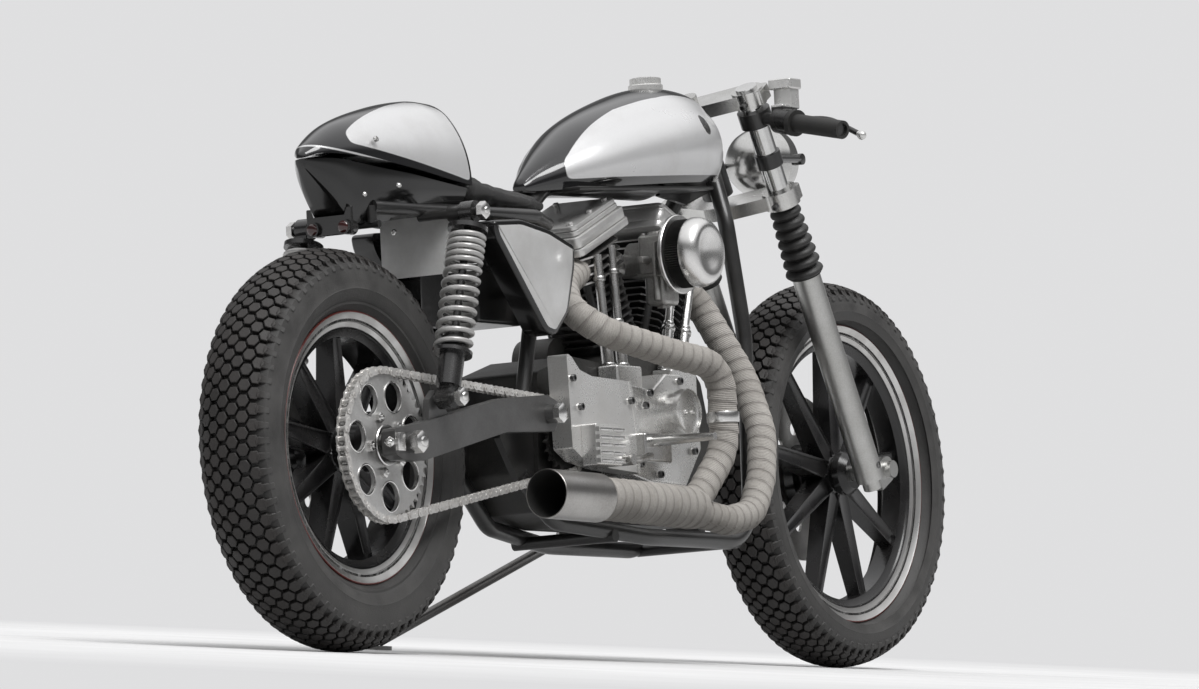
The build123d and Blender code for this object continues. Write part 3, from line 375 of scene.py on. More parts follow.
def tyre_mesh(axle, radius, half, rim_r, rim_half, count):
    """Carcass, tread blocks and shoulder bars of one tyre; the layer 'height' is 1 on the tread's face, and
    where it is lower the rubber is given painted groove shade.
    """
    mesh = bmesh.new()
    crown_r = 1.3827 * half
    base = crown_r - TREAD_DEPTH
    shoulder = radius - 0.30 * half
    wide = (rim_r + shoulder) / 2
    side = [
        (0.93 * half, shoulder - 0.010), (0.975 * half, shoulder - 0.022), (half, wide + 0.004),
        (half - 0.0005, wide - 0.006), (half + 0.0004, wide - 0.008), (half - 0.0012, wide - 0.011),
        (half - 0.004, wide - 0.024), (half - 0.0085, rim_r + 0.014), (half - 0.0085, rim_r + 0.010),
        (rim_half - 0.001, rim_r + 0.0035), (rim_half - 0.005, rim_r - 0.003),
        (rim_half - 0.005, rim_r - 0.017),
    ]
    crown = [(base * sin(t), radius - crown_r + base * cos(t)) for t in (radians(4.6 * i) for i in range(9))]
    outline = crown + side
    outline = [(-y, r) for y, r in reversed(outline[1:])] + outline
    outline.append(outline[0])
    turned(mesh, outline, axle, 144)
    pitch = 2 * pi / count
    for row in range(BLOCK_ROWS):
        tilt = (row - (BLOCK_ROWS - 1) / 2) * ROW_STEP
        seat = axle + Vector((0, base * sin(tilt), radius - crown_r + base * cos(tilt)))
        half_turn = Matrix.Rotation(pitch / 2 * (row % 2), 4, "Y")
        upright_block = Matrix.Translation(axle) @ half_turn @ Matrix.Translation(seat - axle)
        stand = upright_block @ Matrix.Rotation(-tilt, 4, "X")
        long = pi * radius / count - 0.0016
        wide_half = base * ROW_STEP / 2 + 0.0030
        shape = Matrix.Diagonal((long, wide_half, 1, 1))
        part = bmesh.new()
        height = part.verts.layers.float.new("height")
        foot = bmesh.ops.create_circle(part, cap_ends=True, segments=6, radius=1.0, matrix=stand @ shape)
        face = foot["verts"][0].link_faces[0]
        up_way = stand.to_3x3() @ Vector((0, 0, 1))
        bmesh.ops.translate(part, verts=list(face.verts), vec=up_way * -0.003)
        risen, cap = raised(part, [face], up_way * (TREAD_DEPTH + 0.0022))
        middle = sum((v.co for v in risen), Vector()) / len(risen)
        bmesh.ops.scale(part, verts=risen, vec=(0.93, 0.93, 0.93), space=Matrix.Translation(-middle))
        bmesh.ops.inset_region(part, faces=cap, thickness=0.0013, depth=0.0009)
        for vertex in cap[0].verts:
            vertex[height] = 1
        repeated(part, axle, pitch, count - 1)
        join_part(mesh, part)
    for flank in (-1, 1):
        tilt = radians(41.5) * flank
        seat = axle + Vector((0, base * sin(tilt), radius - crown_r + base * cos(tilt)))
        stand = Matrix.Translation(seat) @ Matrix.Rotation(-radians(60) * flank, 4, "X")
        part = bmesh.new()
        height = part.verts.layers.float.new("height")
        bar = bmesh.ops.create_cube(part, size=1, matrix=stand @ Matrix.Diagonal((0.0145, 0.026, 0.0095, 1)))
        outer = [v for v in bar["verts"] if (v.co - axle).y * flank > seat.y * flank]
        bmesh.ops.scale(part, verts=outer, vec=(0.72, 1, 1), space=Matrix.Translation(-seat))
        ease(part, part.edges[:], 0.0016, 1)
        for vertex in part.verts:
            vertex[height] = 0.6
        repeated(part, axle, pitch, count - 1)
        join_part(mesh, part)
    return mesh


def tyre_rubber(name, axle, radius):
    """Rubber that is brown-black on the tread's face and dull grey down the flanks, with the grooves and
    block sides coloured near black as painted shade.
    """
    material, tree, shader, place, patch, grain = new_finish(name, 16, 420)
    top = tree.nodes.new("ShaderNodeAttribute")
    top.attribute_name = "height"
    tread = mixed(tree, patch, (0.014, 0.012, 0.011), (0.032, 0.028, 0.026))
    # painted shade: the grooves and the sides of the blocks are coloured near black to stand for the shade in
    # them
    groove_painted_shade = mixed(tree, patch, (0.005, 0.0045, 0.004), (0.014, 0.012, 0.011))
    flank = mixed(tree, patch, (0.034, 0.033, 0.032), (0.070, 0.068, 0.066))
    crown = mixed(tree, top.outputs["Fac"], groove_painted_shade, tread)
    band = ranged(tree, from_axle(tree, place, axle), radius - 0.032, radius - 0.022, 1, 0)
    join(
        tree,
        (mixed(tree, band, crown, flank), shader.inputs["Base Color"]),
        (ranged(tree, patch, 0, 1, 0.50, 0.72), shader.inputs["Roughness"]),
    )
    relief(tree, shader, grain, 0.0006)
    return material


REAR_TYRE_HALF = 0.067
REAR_RIM_R = 0.223
REAR_RIM_HALF = 0.051
REAR_BLOCKS = 76
rear_tyre_mesh = tyre_mesh(REAR_AXLE, REAR_TYRE_R, REAR_TYRE_HALF, REAR_RIM_R, REAR_RIM_HALF, REAR_BLOCKS)
rear_rubber = tyre_rubber("rear_rubber", REAR_AXLE, REAR_TYRE_R)
rear_tyre = piece("rear_block_tyre", rear_tyre_mesh, "rear_wheel", [rear_rubber])
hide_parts("rear_tyre")

# Front tyre
# The same pattern on a taller, narrower tyre.
FRONT_TYRE_HALF = 0.060
FRONT_RIM_R = 0.262
FRONT_RIM_HALF = 0.038
FRONT_BLOCKS = 78
front_tyre_mesh = tyre_mesh(
    FRONT_AXLE, FRONT_TYRE_R, FRONT_TYRE_HALF, FRONT_RIM_R, FRONT_RIM_HALF, FRONT_BLOCKS
)
front_rubber = tyre_rubber("front_rubber", FRONT_AXLE, FRONT_TYRE_R)
front_tyre = piece("front_block_tyre", front_tyre_mesh, "front_wheel", [front_rubber])
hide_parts("front_tyre")


# Cast wheels
# Cast aluminium wheels painted gloss black: a rim with a machined conical lip and a thin dark red line
# round its edge, nine tapered hollow-sided spokes and a turned hub.
SPOKES = 9


def wheel_mesh(axle, rim_r, rim_half, hub_r, hub, bar):
    """Rim, nine spokes and hub; bar is the spoke's (width, depth) at the hub and at the rim."""
    mesh = bmesh.new()
    half = [
        (rim_half - 0.005, rim_r), (rim_half - 0.0015, rim_r), (rim_half, rim_r - 0.0012),
        (rim_half, rim_r - 0.003), (rim_half - 0.0016, rim_r - 0.005), (rim_half - 0.0095, rim_r - 0.0235),
        (rim_half - 0.0105, rim_r - 0.027), (rim_half - 0.0135, rim_r - 0.028),
        (rim_half - 0.016, rim_r - 0.031), (rim_half - 0.0205, rim_r - 0.0415),
    ]
    seat = [
        (rim_half - 0.024, rim_r - 0.033), (rim_half - 0.016, rim_r - 0.020),
        (rim_half - 0.005, rim_r - 0.018),
    ]
    outline = [(-y, r) for y, r in seat + half] + list(reversed(seat + half))
    outline.append(outline[0])
    turned(mesh, outline, axle, 144)
    low, high = hub
    bore = 0.0096
    turned(mesh, [(low, bore), (low, hub_r - 0.010), (low + 0.002, hub_r - 0.008), (low + 0.012, hub_r),
                  (low + 0.024, hub_r), (low + 0.030, hub_r - 0.006), (high - 0.030, hub_r - 0.006),
                  (high - 0.024, hub_r), (high - 0.012, hub_r), (high - 0.002, hub_r - 0.008),
                  (high, hub_r - 0.010), (high, bore), (low, bore)], axle, 72)
    (root_w, root_d), (tip_w, tip_d) = bar
    inner, outer = hub_r - 0.008, rim_r - 0.037
    part = bmesh.new()
    bmesh.ops.create_cube(
        part, size=1, matrix=Matrix.Translation(axle + Vector((0, 0, (inner + outer) / 2)))
    )
    for vertex in part.verts:
        at_tip = vertex.co.z > axle.z + (inner + outer) / 2
        wide, deep, reach = (tip_w, tip_d, outer) if at_tip else (root_w, root_d, inner)
        vertex.co = axle + Vector(((vertex.co.x - axle.x) * wide, vertex.co.y * deep, reach))
    part.normal_update()
    flanks = [face for face in part.faces if abs(face.normal.y) > 0.9]
    bmesh.ops.inset_individual(part, faces=flanks, thickness=0.0055, depth=-0.0045)
    ease(part, part.edges[:], 0.0014, 1)
    repeated(part, axle, 2 * pi / SPOKES, SPOKES - 1)
    join_part(mesh, part)
    return mesh


def wheel_paint(name, axle, rim_r):
    """Gloss black paint, with the rim's lip machined bare and a dark red line round its edge."""
    material, tree, shader, place, patch, grain = new_finish(name, 12, 500)
    reach = from_axle(tree, place, axle)
    black = mixed(tree, patch, (0.006, 0.006, 0.0065), (0.016, 0.015, 0.015))
    silver = mixed(tree, patch, (0.62, 0.62, 0.61), (0.44, 0.43, 0.42))
    lip = ranged(tree, reach, rim_r - 0.0265, rim_r - 0.0255, 0, 1)
    line = ranged(tree, reach, rim_r - 0.0030, rim_r - 0.0024, 0, 1)
    bare = sums(tree, "SUBTRACT", lip, line, clamp=True)
    shade = mixed(tree, line, mixed(tree, lip, black, silver), (0.12, 0.022, 0.018))
    rough = mixed(
        tree,
        bare,
        mixed(tree, patch, (0.16,) * 3, (0.34,) * 3),
        mixed(tree, patch, (0.26,) * 3, (0.42,) * 3),
    )
    join(
        tree,
        (shade, shader.inputs["Base Color"]),
        (bare, shader.inputs["Metallic"]),
        (rough, shader.inputs["Roughness"]),
    )
    return material


REAR_HUB_R, REAR_HUB = 0.044, (-0.092, 0.0815)
REAR_SPOKE = ((0.038, 0.044), (0.024, 0.034))
rear_wheel_mesh = wheel_mesh(REAR_AXLE, REAR_RIM_R, REAR_RIM_HALF, REAR_HUB_R, REAR_HUB, REAR_SPOKE)
turned(
    rear_wheel_mesh,
    [(0.068, 0.034), (0.070, 0.054), (0.0815, 0.060), (0.0815, 0.030), (0.068, 0.034)],
    REAR_AXLE,
)
rear_cast = piece("rear_cast_wheel", rear_wheel_mesh, "rear_wheel",
                  [wheel_paint("rear_wheel_paint", REAR_AXLE, REAR_RIM_R)])
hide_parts("rear_wheel")
FRONT_HUB_R, FRONT_HUB = 0.038, (-0.052, 0.0575)
FRONT_SPOKE = ((0.034, 0.040), (0.022, 0.028))
front_wheel_mesh = wheel_mesh(FRONT_AXLE, FRONT_RIM_R, FRONT_RIM_HALF, FRONT_HUB_R, FRONT_HUB, FRONT_SPOKE)
turned(
    front_wheel_mesh,
    [(0.042, 0.030), (0.044, 0.050), (0.0575, 0.058), (0.0575, 0.026), (0.042, 0.030)],
    FRONT_AXLE,
)
front_cast = piece("front_cast_wheel", front_wheel_mesh, "front_wheel",
                   [wheel_paint("front_wheel_paint", FRONT_AXLE, FRONT_RIM_R)])
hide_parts("front_wheel")


# Brake discs
# Flat steel discs on the left, drilled near their bolts, in bright steel with darker cloudy patches.
def finish(name, clean, dirty, metal, rough, bump=0.0, patch=8.0, grain_scale=300.0, coat=0.0):
    """A surface from a clean colour to a dirty one in cloudy patches, with a fine grain in its relief."""
    material, tree, shader, place, patch_mask, grain = new_finish(name, patch, grain_scale)
    mottled = ranged(tree, grain, 0.3, 0.7, 0, 0.35)
    dirt = sums(tree, "ADD", sums(tree, "MULTIPLY", patch_mask, 0.65), mottled, clamp=True)
    join(
        tree,
        (mixed(tree, dirt, clean, dirty), shader.inputs["Base Color"]),
        (ranged(tree, dirt, 0, 1, *rough), shader.inputs["Roughness"]),
    )
    shader.inputs["Metallic"].default_value = metal
    shader.inputs["Coat Weight"].default_value = coat
    shader.inputs["Coat Roughness"].default_value = 0.04
    if bump:
        relief(tree, shader, grain, bump)
    return material


def dress(material, *names):
    """Gives CAD nodes their finish."""
    for name in names:
        nodes[name].data.materials.clear()
        nodes[name].data.materials.append(material)


disc_steel = finish("disc_steel", (0.50, 0.50, 0.49), (0.30, 0.29, 0.28), 1, (0.24, 0.42), 0.00005, 18, 700)
dress(disc_steel, "rear_disc", "front_disc")

# Chain and rear sprocket
# A roller chain of waisted steel link plates on pins, and a toothed steel disc with seven bored windows
# whose edges are turned bright, held to the hub by five domed nuts.
CHAIN_Y = -0.096
LINKS = 106
PITCH = 0.015875
REAR_TEETH = 48
FRONT_TEETH = 23
REAR_PITCH_R = PITCH / (2 * sin(pi / REAR_TEETH))
FRONT_PITCH_R = PITCH / (2 * sin(pi / FRONT_TEETH))
FRONT_SPROCKET_Z = 0.360
TOOTH_STEP = (REAR_TEETH - FRONT_TEETH) / (2 * pi)
SPAN = PITCH * (LINKS - (REAR_TEETH + FRONT_TEETH) / 2 - TOOTH_STEP**2 * 2 / LINKS) / 2
RISE = FRONT_SPROCKET_Z - REAR_AXLE.z
FRONT_SPROCKET_X = (SPAN**2 - RISE**2) ** 0.5
SLOPE = atan2(RISE, FRONT_SPROCKET_X)
RUN = (SPAN**2 - (REAR_PITCH_R - FRONT_PITCH_R) ** 2) ** 0.5
SPREAD = atan2(REAR_PITCH_R - FRONT_PITCH_R, RUN)
TOP_ANGLE = pi / 2 + SLOPE - SPREAD
LOW_ANGLE = -pi / 2 + SLOPE + SPREAD
FRONT_WRAP = (TOP_ANGLE - LOW_ANGLE) * FRONT_PITCH_R
LOOP = 2 * RUN + FRONT_WRAP + (2 * pi - TOP_ANGLE + LOW_ANGLE) * REAR_PITCH_R


def on_ring(centre, radius, angle):
    """A point of a ring in the chain's plane."""
    return Vector((centre[0] + radius * cos(angle), CHAIN_Y, centre[1] + radius * sin(angle)))


def chain_point(way):
    """A place along the chain, from the rear sprocket's upper tangent point."""
    rear, front = (0.0, REAR_AXLE.z), (FRONT_SPROCKET_X, FRONT_SPROCKET_Z)
    rear_top, front_top = on_ring(rear, REAR_PITCH_R, TOP_ANGLE), on_ring(front, FRONT_PITCH_R, TOP_ANGLE)
    rear_low, front_low = on_ring(rear, REAR_PITCH_R, LOW_ANGLE), on_ring(front, FRONT_PITCH_R, LOW_ANGLE)
    way = way % LOOP
    if way < RUN:
        return rear_top.lerp(front_top, way / RUN)
    way -= RUN
    if way < FRONT_WRAP:
        return on_ring(front, FRONT_PITCH_R, TOP_ANGLE - way / FRONT_PITCH_R)
    way -= FRONT_WRAP
    if way < RUN:
        return front_low.lerp(rear_low, way / RUN)
    return on_ring(rear, REAR_PITCH_R, LOW_ANGLE - (way - RUN) / REAR_PITCH_R)


def facing(place, way):
    """A matrix that stands a part at a place with its Z along a direction."""
    return Matrix.Translation(place) @ way.to_track_quat("Z", "Y").to_matrix().to_4x4()


def add_rod(mesh, start, end, radius, radius_end=None, sides=24, edge=0.0):
    """A closed round bar between two points, tapered where a second radius is given."""
    start, end = Vector(start), Vector(end)
    along = end - start
    far_radius = radius if radius_end is None else radius_end
    part = bmesh.new()
    bmesh.ops.create_cone(part, cap_ends=True, segments=sides, radius1=radius, radius2=far_radius,
                          depth=along.length, matrix=facing((start + end) / 2, along))
    if edge:
        rims = [e for e in part.edges if any(len(f.verts) > 4 for f in e.link_faces)]
        ease(part, rims, edge)
    join_part(mesh, part)


def add_slab(mesh, outline, low, high, edge=0.001, corner=0.0, steps=2):
    """A plate from a side-view outline of (x, z) points, between two Y limits, with its edges eased."""
    part = bmesh.new()
    bmesh.ops.contextual_create(part, geom=[part.verts.new((x, low, z)) for x, z in outline])
    if corner:
        ease(part, part.verts[:], corner, 4, "VERTICES")
    raised(part, part.faces[:], (0, high - low, 0))
    bmesh.ops.recalc_face_normals(part, faces=part.faces)
    if edge:
        rims = [e for e in part.edges if abs((e.verts[0].co - e.verts[1].co).y) < 1e-6]
        ease(part, rims, edge, steps)
    join_part(mesh, part)


def add_box(mesh, middle, size, edge=0.002, turn=None, steps=2):
    """A box with eased edges, turned by a matrix where one is given."""
    part = bmesh.new()
    bmesh.ops.create_cube(part, size=1, matrix=Matrix.Diagonal((*size, 1)))
    ease(part, part.edges[:], edge, steps)
    part.transform(Matrix.Translation(middle) @ (turn or Matrix.Identity(4)))
    join_part(mesh, part)


def add_screw(mesh, seat, way, radius, height, sides=20, socket=True):
    """A cap screw on its seat, with a round socket sunk in its head, or a nut where it has six sides."""
    way = Vector(way).normalized()
    place = facing(Vector(seat) + way * (height / 2 - 0.0005), way)
    part = bmesh.new()
    bmesh.ops.create_cone(part, cap_ends=True, segments=sides, radius1=radius, radius2=radius, depth=height,
                          matrix=place)
    part.normal_update()
    top = [f for f in part.faces if f.normal.dot(way) > 0.9]
    bmesh.ops.inset_region(part, faces=top, thickness=radius * 0.18, depth=radius * 0.12)
    if socket:
        bmesh.ops.inset_region(part, faces=top, thickness=radius * 0.26, depth=0)
        bmesh.ops.inset_region(part, faces=top, thickness=radius * 0.02, depth=-height * 0.5)
    join_part(mesh, part)


chain_steel = finish(
    "chain_steel", (0.86, 0.85, 0.83), (0.46, 0.44, 0.42), 0.45, (0.22, 0.42), 0.0001, 60, 500
)
chain_mesh = bmesh.new()
for i in range(LINKS):
    start, end = chain_point(LOOP * i / LINKS), chain_point(LOOP * (i + 1) / LINKS)
    ahead = (end - start).normalized()
    square = Vector((-ahead.z, 0, ahead.x))
    long = (end - start).length
    ends = [(-0.0070 * cos(t), 0.0070 * sin(t)) for t in (radians(d) for d in (-75, -38, 0, 38, 75))]
    shape = ends + [(long / 2, 0.0056)] + [(long - a, b) for a, b in reversed(ends)] + [(long / 2, -0.0056)]
    outline = [start + ahead * a + square * b for a, b in shape]
    near, far = ((0.0056, 0.0072), (0.0075, 0.0090))[i % 2]
    for side in (-1, 1):
        low, high = sorted((CHAIN_Y + side * near, CHAIN_Y + side * far))
        add_slab(chain_mesh, [(p.x, p.z) for p in outline], low, high, edge=0)
    add_rod(chain_mesh, start - Vector((0, 0.0056, 0)), start + Vector((0, 0.0056, 0)), 0.0048, sides=10)
    add_rod(chain_mesh, start - Vector((0, 0.0100, 0)), start + Vector((0, 0.0100, 0)), 0.0024, sides=8)
chain = piece("roller_chain", chain_mesh, "frame", [chain_steel], sharp=30)
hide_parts("drive_chain")

sprocket_steel = finish(
    "sprocket_steel", (0.74, 0.74, 0.73), (0.42, 0.41, 0.40), 0.7, (0.28, 0.46), 0.0001, 16, 500
)
dress(sprocket_steel, "rear_sprocket")
bright_steel = finish(
    "bright_steel", (0.76, 0.76, 0.75), (0.52, 0.51, 0.50), 1, (0.16, 0.32), 0.00005, 24, 600
)
SPROCKET_FACE = -0.0994
WINDOWS, WINDOW_RING = 7, 0.084
NUTS, NUT_RING = 5, 0.047
trim = bmesh.new()
for i in range(WINDOWS):
    turn = 2 * pi / WINDOWS * i + radians(18)
    window = Vector((WINDOW_RING * cos(turn), SPROCKET_FACE, REAR_AXLE.z + WINDOW_RING * sin(turn)))
    turned(
        trim,
        [
            (0.0012, 0.0236), (-0.0010, 0.0240), (-0.0016, 0.0252), (-0.0010, 0.0266), (0.0012, 0.0268),
            (0.0012, 0.0236),
        ],
        window,
        36,
    )
for i in range(NUTS):
    turn = 2 * pi / NUTS * i + radians(40)
    seat = Vector((NUT_RING * cos(turn), SPROCKET_FACE, REAR_AXLE.z + NUT_RING * sin(turn)))
    add_screw(trim, seat, (0, -1, 0), 0.0088, 0.007, 6, socket=False)
    add_rod(trim, seat, seat - Vector((0, 0.011, 0)), 0.005, 0.004, 12, 0.001)
turned(trim, [(0.0005, 0.024), (-0.004, 0.034), (-0.0055, 0.0325), (-0.0055, 0.024), (0.0005, 0.024)],
       (0, SPROCKET_FACE, REAR_AXLE.z), 48)
piece("sprocket_trim", trim, "rear_wheel", [bright_steel])

# Swingarm
# Flat steel arms in dull silver-black paint, with the axle's big nuts and adjuster blocks at the back,
# pivot nuts at the front and a domed bolt through the foot of each shock.
arm_paint = finish(
    "arm_paint", (0.17, 0.17, 0.17), (0.085, 0.083, 0.08), 0.65, (0.30, 0.46), 0.0002, 9, 600, 0.15
)
dress(arm_paint, "swingarm")
PIVOT_X, PIVOT_Z = 0.434, 0.390
SHOCK_FOOT = Vector((0.097, 0.160, 0.403))
SHOCK_HEAD = Vector((0.197, 0.160, 0.712))
bolts = bmesh.new()
for side in (-1, 1):
    add_screw(bolts, (0, side * 0.156, REAR_AXLE.z), (0, side, 0), 0.0185, 0.016, 6, socket=False)
    add_rod(
        bolts, (0, side * 0.160, REAR_AXLE.z), (0, side * 0.1775, REAR_AXLE.z), 0.0100, 0.0085, 20, 0.0015
    )
    add_screw(bolts, (PIVOT_X, side * 0.162, PIVOT_Z), (0, side, 0), 0.0165, 0.012, 6, socket=False)
    add_screw(
        bolts, (SHOCK_FOOT.x, side * 0.183, SHOCK_FOOT.z), (0, side, 0), 0.0155, 0.011, 6, socket=False
    )
    add_rod(
        bolts, (SHOCK_FOOT.x, side * 0.190, SHOCK_FOOT.z), (SHOCK_FOOT.x, side * 0.198, SHOCK_FOOT.z),
        0.011, 0.006, 20, 0.002,
    )
    add_screw(
        bolts, (SHOCK_HEAD.x, side * 0.181, SHOCK_HEAD.z), (0, side, 0), 0.0150, 0.010, 6, socket=False
    )
    add_rod(
        bolts, (SHOCK_HEAD.x, side * 0.187, SHOCK_HEAD.z), (SHOCK_HEAD.x, side * 0.195, SHOCK_HEAD.z),
        0.009, 0.005, 20, 0.002,
    )
    add_box(bolts, (-0.034, side * 0.1505, REAR_AXLE.z), (0.020, 0.009, 0.030), 0.002)
    add_rod(
        bolts, (-0.060, side * 0.140, REAR_AXLE.z), (-0.030, side * 0.140, REAR_AXLE.z), 0.0045, sides=12,
        edge=0.001,
    )
    add_screw(bolts, (-0.042, side * 0.140, REAR_AXLE.z), (-1, 0, 0), 0.009, 0.008, 6, socket=False)
piece("frame_nuts", bolts, "frame", [bright_steel])

# Shock absorbers
# A gloss black damper body in a spring of round silver-painted wire, wound wide at the foot and close
# towards the top, between two turned seats.
damper_black = finish(
    "damper_black", (0.010, 0.010, 0.011), (0.030, 0.029, 0.028), 0, (0.16, 0.34), 0.0001, 10, 500, 0.5
)
dress(damper_black, "shock_dampers")
WIRE_R = 0.0046
SPRING_R = 0.028
WIRE_STEPS = 28
spring_mesh = bmesh.new()
for side in (-1, 1):
    foot = Vector((SHOCK_FOOT.x, side * SHOCK_FOOT.y, SHOCK_FOOT.z))
    head = Vector((SHOCK_HEAD.x, side * SHOCK_HEAD.y, SHOCK_HEAD.z))
    along = (head - foot).normalized()
    part = bmesh.new()
    wire = Matrix.Translation((SPRING_R, 0, 0.0862)) @ Matrix.Rotation(pi / 2, 4, "X")
    ring = bmesh.ops.create_circle(part, segments=12, radius=WIRE_R, matrix=wire)
    loop = ring["verts"] + list({e for v in ring["verts"] for e in v.link_edges})
    for pitch, turns in ((0.018, 8), (0.011, 5)):
        wound = bmesh.ops.spin(part, geom=loop, cent=(0, 0, 0), axis=(0, 0, 1), angle=2 * pi * turns,
                               dvec=(0, 0, pitch / WIRE_STEPS), steps=WIRE_STEPS * turns)
        loop = wound["geom_last"]
    bmesh.ops.holes_fill(part, edges=part.edges)
    part.transform(facing(foot, along))
    join_part(spring_mesh, part)
spring_silver = finish(
    "spring_silver", (0.52, 0.52, 0.51), (0.36, 0.35, 0.34), 0.35, (0.24, 0.40), 0.0001, 18, 500, 0.3
)
springs = piece("wire_springs", spring_mesh, "frame", [spring_silver])
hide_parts("shock_springs")

# Frame
# Welded round steel tube in satin black paint, dusty in cloudy patches.
frame_black = finish(
    "frame_black", (0.009, 0.009, 0.010), (0.034, 0.033, 0.031), 0, (0.26, 0.46), 0.0002, 7, 500, 0.25
)
dress(frame_black, "backbone", "down_tubes", "rear_frame", "battery_box")

# Engine cases
# Sand-cast aluminium: the crankcase is painted black, and the covers on both sides are polished bright,
# with dark cap screws, a raised timer cover and a ribbed block low on the sprocket cover.
case_black = finish(
    "case_black", (0.020, 0.020, 0.020), (0.062, 0.060, 0.056), 0.2, (0.36, 0.58), 0.0006, 14, 420
)
dress(case_black, "engine_case")
cover_polish = finish(
    "cover_polish", (0.86, 0.86, 0.85), (0.62, 0.61, 0.59), 0.7, (0.20, 0.38), 0.0001, 9, 420, 0.0
)
dress(cover_polish, "primary_cover", "sprocket_cover", "gear_cover")
screw_dark = finish("screw_dark", (0.22, 0.22, 0.22), (0.10, 0.10, 0.10), 1, (0.30, 0.45), 0, 30, 600)
screws = bmesh.new()
for x, z in ((0.501, 0.452), (0.522, 0.405), (0.683, 0.421)):
    add_screw(screws, (x, -0.1525, z), (0, -1, 0), 0.0062, 0.006)
for x, z in ((0.753, 0.417), (0.769, 0.439), (0.728, 0.318), (0.790, 0.302), (0.905, 0.345), (0.868, 0.462)):
    add_screw(screws, (x, -0.1385, z), (0, -1, 0), 0.0062, 0.006)
for x, z in ((0.590, 0.345), (0.640, 0.290), (0.760, 0.283), (0.880, 0.285), (0.968, 0.318), (0.982, 0.384),
             (0.955, 0.438), (0.880, 0.458), (0.760, 0.450), (0.650, 0.442), (0.592, 0.405)):
    add_screw(screws, (x, 0.1405, z), (0, 1, 0), 0.0070, 0.006)
piece("cover_screws", screws, "frame", [screw_dark])
caps = bmesh.new()
turned(
    caps,
    [
        (0.0, 0.0), (-0.0012, 0.018), (-0.0012, 0.0335), (0.0002, 0.0355), (-0.0026, 0.0362),
        (-0.0026, 0.0384), (0.0, 0.0398), (0.010, 0.0398), (0.010, 0.0), (0.0, 0.0),
    ],
    (0.836, -0.1738, 0.406),
    72,
)
turned(caps, [(0.0, 0.0), (0.0, 0.050), (-0.0015, 0.052), (0.002, 0.056), (0.002, 0.060), (-0.001, 0.0625),
              (-0.008, 0.0625), (-0.008, 0.0), (0.0, 0.0)], (0.690, 0.1545, 0.372), 72)
for x in (0.824, 0.848):
    add_screw(caps, (x, -0.1748, 0.406), (0, -1, 0), 0.0040, 0.003)
piece("turned_covers", caps, "frame", [cover_polish])
rib_mesh = bmesh.new()
for i in range(5):
    for start, end in ((0.5265, 0.5630), (0.5665, 0.6015)):
        add_box(
            rib_mesh, ((start + end) / 2, -0.1845, 0.3140 + 0.013 * i), (end - start, 0.008, 0.0050), 0.001
        )
piece("cover_ribs", rib_mesh, "frame", [bright_steel])

# Cylinders
# Two finned iron barrels and heads in black paint, set in a narrow V. The rims of the four fins on each
# head are machined bright.
CRANK = Vector((0.895, 0, 0.376))
BANK = radians(22.5)
cylinder_black = finish(
    "cylinder_black", (0.012, 0.012, 0.012), (0.036, 0.034, 0.032), 0, (0.34, 0.55), 0.0004, 14, 500
)
fin_edge = finish("fin_edge", (0.60, 0.60, 0.59), (0.34, 0.33, 0.32), 1, (0.26, 0.44), 0, 20, 600)
cylinder_mesh = bmesh.new()
for side in (-1, 1):
    bank = Matrix.Translation(CRANK) @ Matrix.Rotation(BANK * side, 4, "Y")
    fins = [(0.1875 + 0.013 * i, 0.066, 0.064, 0) for i in range(8)]
    fins += [(0.2975 + 0.014 * i, 0.074, 0.070, 1) for i in range(4)]
    for height, half_long, half_wide, bright in fins:
        part = bmesh.new()
        bmesh.ops.create_cube(
            part, size=1, matrix=Matrix.Diagonal((2 * half_long, 2 * half_wide, 0.0032, 1))
        )
        posts = [e for e in part.edges if abs((e.verts[0].co - e.verts[1].co).z) > 0.002]
        ease(part, posts, 0.42 * half_wide, 1)
        part.normal_update()
        for face in part.faces:
            if abs(face.normal.z) < 0.5:
                face.material_index = bright
        faces = [f for f in part.faces if abs(f.normal.z) > 0.5]
        bmesh.ops.inset_individual(part, faces=faces, thickness=0.0008, depth=0.0003)
        part.transform(bank @ Matrix.Translation((0, 0, height)))
        join_part(cylinder_mesh, part)
    up_way = bank.to_3x3() @ Vector((0, 0, 1))
    add_rod(cylinder_mesh, CRANK + up_way * 0.150, CRANK + up_way * 0.290, 0.050, sides=48)
    add_box(cylinder_mesh, CRANK + up_way * 0.318, (0.112, 0.104, 0.064), 0.004, bank.to_3x3().to_4x4())
    for dx, dy in ((-0.050, -0.046), (0.050, -0.046), (-0.050, 0.046), (0.050, 0.046)):
        stud = bank.to_3x3() @ Vector((dx, dy, 0))
        add_rod(
            cylinder_mesh, CRANK + stud + up_way * 0.165, CRANK + stud + up_way * 0.300, 0.0075, sides=12
        )
cylinders = piece(
    "finned_cylinders", cylinder_mesh, "frame", [cylinder_black, fin_edge], sharp=30
)
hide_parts("cylinders")

